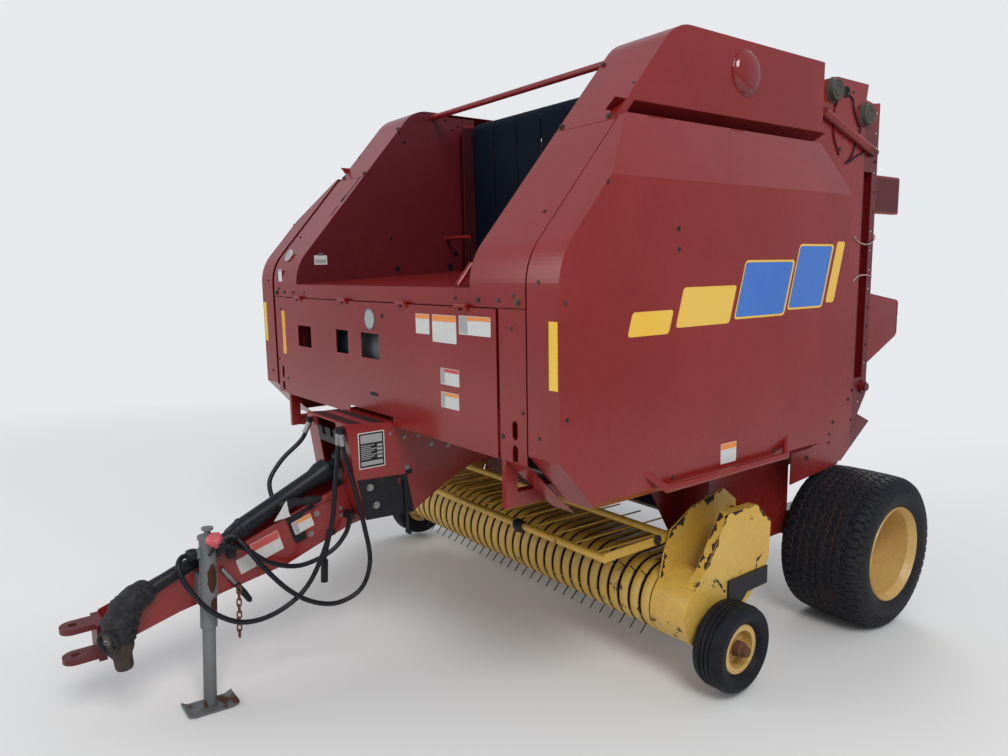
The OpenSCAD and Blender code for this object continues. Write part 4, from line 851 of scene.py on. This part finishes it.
# The caps' lenses and lips, the rear lamps, the gate's bearings and its clipped wires
for name, side, plane in SIDES:
    turned("dome_lens_" + name, "base", lens, (side * 1204, 1301, 2878), [(-1, 101), (3, 101), (5, 99),
        (6, 95), (14, 90), (23, 77), (29, 60), (33, 38), (34, 18), (34.5, 0.01)], side, 56)
    a = -side * 1080
    sheets("rear_lamp_" + name, "tailgate", (0, 3050, 0), BACK,
        [((a - 19, a + 19, 1588, 1794, 6), -1, 12, black), ((a - 16, a + 16, 1695, 1788, 5), 11, 22, lens),
        ((a - 16, a + 16, 1594, 1687, 5), 11, 22, amber)])
    sheets("lamp_panel_" + name, "tailgate", (side * 1046, 0, 0), plane,
        [((2700, 3088, 2318, 2538, 16), -14, 9, maroon), ((2712, 3076, 2330, 2526, 10), 8, 10, dark_red),
        ((3086, 3096, 2350, 2506, 4), -10, 5, lens)])
    # The lips take the darker red as painted shade on their undersides
    sheets("cap_lip_" + name, "base", (side * 1150, 0, 2640), (plane[0], (side * 0.8035, 0, 0.5953)),
        [([(472, 0), (1943, 0), (1972, 66), (472, 66)], -1, 1, lip_shade_red)])
    for part, y, z in BEARINGS:
        turned(f"gate_bearing_{part}_{name}", "tailgate", bearing, (side * 1100, y, z),
            [(-0.3, 66), (5, 66), (6, 58), (31, 56), (35, 52), (35, 44), (32, 42), (32, 34), (35, 33), (35, 24),
            (31, 22), (31, 0.01)], side, 48)
turned("gate_grommet", "tailgate", rubber, (1100, 2341, 2942),
    [(-3, 17), (3, 28), (6, 30), (8, 28), (8, 20), (4, 17), (1, 15), (0.6, 0.01)], 1, 36)
WIRES = {
    "a": (rubber, [(1104, 2341, 2930), (1106, 2400, 2915), (1106, 2425, 2855), (1106, 2468, 2795), (1106, 2500, 2760),
        (1105, 2455, 2675), (1105, 2420, 2610), (1105, 2362, 2570)]),
    "b": (rubber, [(1105, 2362, 2570), (1105, 2400, 2580), (1105, 2474, 2616), (1106, 2540, 2640), (1106, 2600, 2664)]),
    "c": (dark_red, [(1104, 2320, 2925), (1105, 2262, 2900), (1105, 2232, 2845), (1105, 2225, 2780),
        (1105, 2232, 2700), (1105, 2290, 2610)]),
    "d": (wire, [(1103, 2490, 2177), (1104, 2540, 2148), (1106, 2620, 2134), (1106, 2690, 2146), (1104, 2722, 2176),
        (1090, 2728, 2196)]),
    "e": (wire, [(1103, 2500, 1925), (1104, 2556, 1954), (1106, 2630, 1960), (1105, 2700, 1950), (1092, 2724, 1946)]),
}
for name, (finish, route) in WIRES.items():
    line = smooth_route(route, 5)
    swept("gate_wire_" + name, "tailgate", finish, line, [4.2] * len(line), 10)


# Main wheels
def fold(t):
    """A triangle wave between -1 and 1, once for each whole step."""
    return 4 * abs(t - (t + 0.5) // 1) - 1


TYRE_X, TYRE_W = 1003, 480
TREAD_PROFILE = [(60, 246), (20, 266), (4, 300), (0, 326), (1, 350), (6, 370), (13, 389), (26, 408), (42, 418),
    (60, 424), (95, 426.5), (130, 428.5), (240, 429.6)]
GROOVES = ((150, 11, 9), (240, 11, 9), (330, 11, 9), (105, 7, 5), (195, 7, 5), (285, 7, 5), (375, 7, 5))
PITCHES, ROWS_PER_PITCH = 54, 6
LANE_W, SHOULDER_W, FINE_FROM = 45, 92, 12


def tread_tyre(name, body, node, side):
    """A wide flotation tyre with zigzag grooves, small cross sipes and notched shoulders."""
    full = TREAD_PROFILE + [(TYRE_W - s, r) for s, r in reversed(TREAD_PROFILE[:-1])]
    line = [full[0]]
    for (s0, r0), (s1, r1) in zip(full, full[1:]):
        fine = min(s0, s1) > FINE_FROM and max(s0, s1) < TYRE_W - FINE_FROM
        n = max(1, round(hypot(s1 - s0, r1 - r0) / (6.5 if fine else 14)))
        line += [(s0 + (s1 - s0) * i / n, r0 + (r1 - r0) * i / n) for i in range(1, n + 1)]
    rows, k = PITCHES * ROWS_PER_PITCH, len(line)
    verts, groove = [], []
    for i in range(rows):
        t = 2 * pi * i / rows
        for j, (s, r) in enumerate(line):
            (sa, ra), (sb, rb) = line[max(j - 1, 0)], line[min(j + 1, k - 1)]
            length = hypot(sb - sa, rb - ra)
            ns, nr = -(rb - ra) / length, (sb - sa) / length
            edge = min(s, TYRE_W - s)
            crown = min(1, max(0, (edge - 70) / 60))
            depth = 0
            for centre, width, deep in GROOVES:
                if abs(s - centre) < width / 2:
                    depth = deep
            rust = depth if 140 < s < 340 else 0
            lane = int(s // LANE_W)
            step = (i + lane * 3) % ROWS_PER_PITCH
            if step == 0 and (edge < SHOULDER_W or lane % 2 == 0):
                depth = max(depth, 8 if 10 < edge < SHOULDER_W else 4.5 if edge >= SHOULDER_W else 0)
            if r < 372:
                depth = 0
            if edge < 10 and step < 2 and 345 < r < 380:
                depth = 3
            shift = 8 * crown * fold(i / ROWS_PER_PITCH)
            rr, ss = r - nr * depth, s - ns * depth + shift
            verts.append((side * (TYRE_X + ss), AXLE_Y + rr * cos(t), AXLE_Z + rr * sin(t)))
            groove.append(min(1, rust / 8))
    faces = []
    for i in range(rows):
        a, b = i * k, (i + 1) % rows * k
        for j in range(k - 1):
            quad = (a + j, b + j, b + j + 1, a + j + 1)
            faces.append(quad if side > 0 else quad[::-1])
    obj = mesh_object(name, verts, faces, tread_rubber, body)
    mark = obj.data.attributes.new("groove", "FLOAT", "POINT")
    mark.data.foreach_set("value", groove)
    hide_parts(node)


tread_tyre("tread_tyre_left", "wheel_left", "tyre_left", 1)
tread_tyre("tread_tyre_right", "wheel_right", "tyre_right", -1)


def ring(x, y, z, radius, side, size, count, start):
    """Nuts about a wheel's centre."""
    turns = (2 * pi * (i + start) / count for i in range(count))
    return [((side * x, y + radius * cos(a), z + radius * sin(a)), (side, 0, 0), size) for a in turns]


for name, side, plane in SIDES:
    turned("hub_cap_" + name, "wheel_" + name, cream, (side * 1153, AXLE_Y, AXLE_Z),
        [(-30, 62), (6, 62), (12, 56), (14, 34), (30, 30), (34, 24), (36, 0.01)], side)
    bolts("wheel_nuts_" + name, "wheel_" + name, steel, ring(1136, AXLE_Y, AXLE_Z, 84, side, 13, 8, 0.5))
    turned("gauge_hub_" + name, "gauge_wheel_" + name, rusty, (side * 1420, 1062, 305),
        [(-14, 36), (20, 36), (26, 30), (27, 26), (46, 24), (50, 20), (51, 0.01)], side, 40)
    bolts("gauge_nuts_" + name, "gauge_wheel_" + name, rusty, ring(1376, 1062, 305, 52, side, 8, 5, 0))


# Floor and light
BACKGROUND = (0.8, 0.82, 0.84, 1)
FLOOR_HALF = 60
LIGHTS = (("key", (7.5, -3.5, 8.0), (0.5, 0, 1.2), 4, 560), ("fill", (-4, -8, 5), (0, 0, 1.2), 6, 230),
    ("back", (-3, 8, 7), (0, 0, 1.8), 5, 300))


def add_stage():
    mesh = bpy.data.meshes.new("floor")
    r = FLOOR_HALF
    mesh.from_pydata([(-r, -r, 0), (r, -r, 0), (r, r, 0), (-r, r, 0)], [], [(0, 1, 2, 3)])
    floor = added("floor", mesh)
    m = bpy.data.materials.new("pale_floor")
    m.use_nodes = True
    b = Build(m.node_tree)
    shader = m.node_tree.nodes["Principled BSDF"]
    shader.inputs["Base Color"].default_value = (0.8, 0.785, 0.76, 1)
    shader.inputs["Roughness"].default_value = 0.9
    # Far from the object the floor fades into the background, for the camera alone
    where = b.place()
    far = b.vector("LENGTH", where)
    path = b.node("ShaderNodeLightPath").outputs
    share = b.times(b.ramp(far, 3.2, 9.0), path["Is Camera Ray"])
    glow = b.node("ShaderNodeEmission", Color=BACKGROUND)
    join = b.node("ShaderNodeMixShader", i0=share, i1=shader.outputs[0], i2=glow.outputs[0])
    b.feed(m.node_tree.nodes["Material Output"], "Surface", join.outputs[0])
    mesh.materials.append(m)
    world = bpy.data.worlds.new("studio")
    bpy.context.scene.world = world
    world.use_nodes = True
    b = Build(world.node_tree)
    tree = world.node_tree.nodes
    soft = tree["Background"]
    soft.inputs["Color"].default_value = (0.84, 0.91, 1.0, 1)
    soft.inputs["Strength"].default_value = 0.55
    seen = b.node("ShaderNodeBackground", Color=BACKGROUND, Strength=1.0)
    path = b.node("ShaderNodeLightPath").outputs
    either = b.math("MAXIMUM", path["Is Camera Ray"], path["Is Transmission Ray"])
    join = b.node("ShaderNodeMixShader", i0=either, i1=soft.outputs[0], i2=seen.outputs[0])
    b.feed(tree["World Output"], "Surface", join.outputs[0])
    for name, place, aim, size, power in LIGHTS:
        light = bpy.data.lights.new(name, "AREA")
        light.size = size
        light.energy = power
        lamp = added(name, light)
        lamp.location = place
        lamp.rotation_euler = (Vector(aim) - Vector(place)).to_track_quat("-Z", "Y").to_euler()


add_stage()
bpy.context.scene.view_settings.view_transform = "Standard"
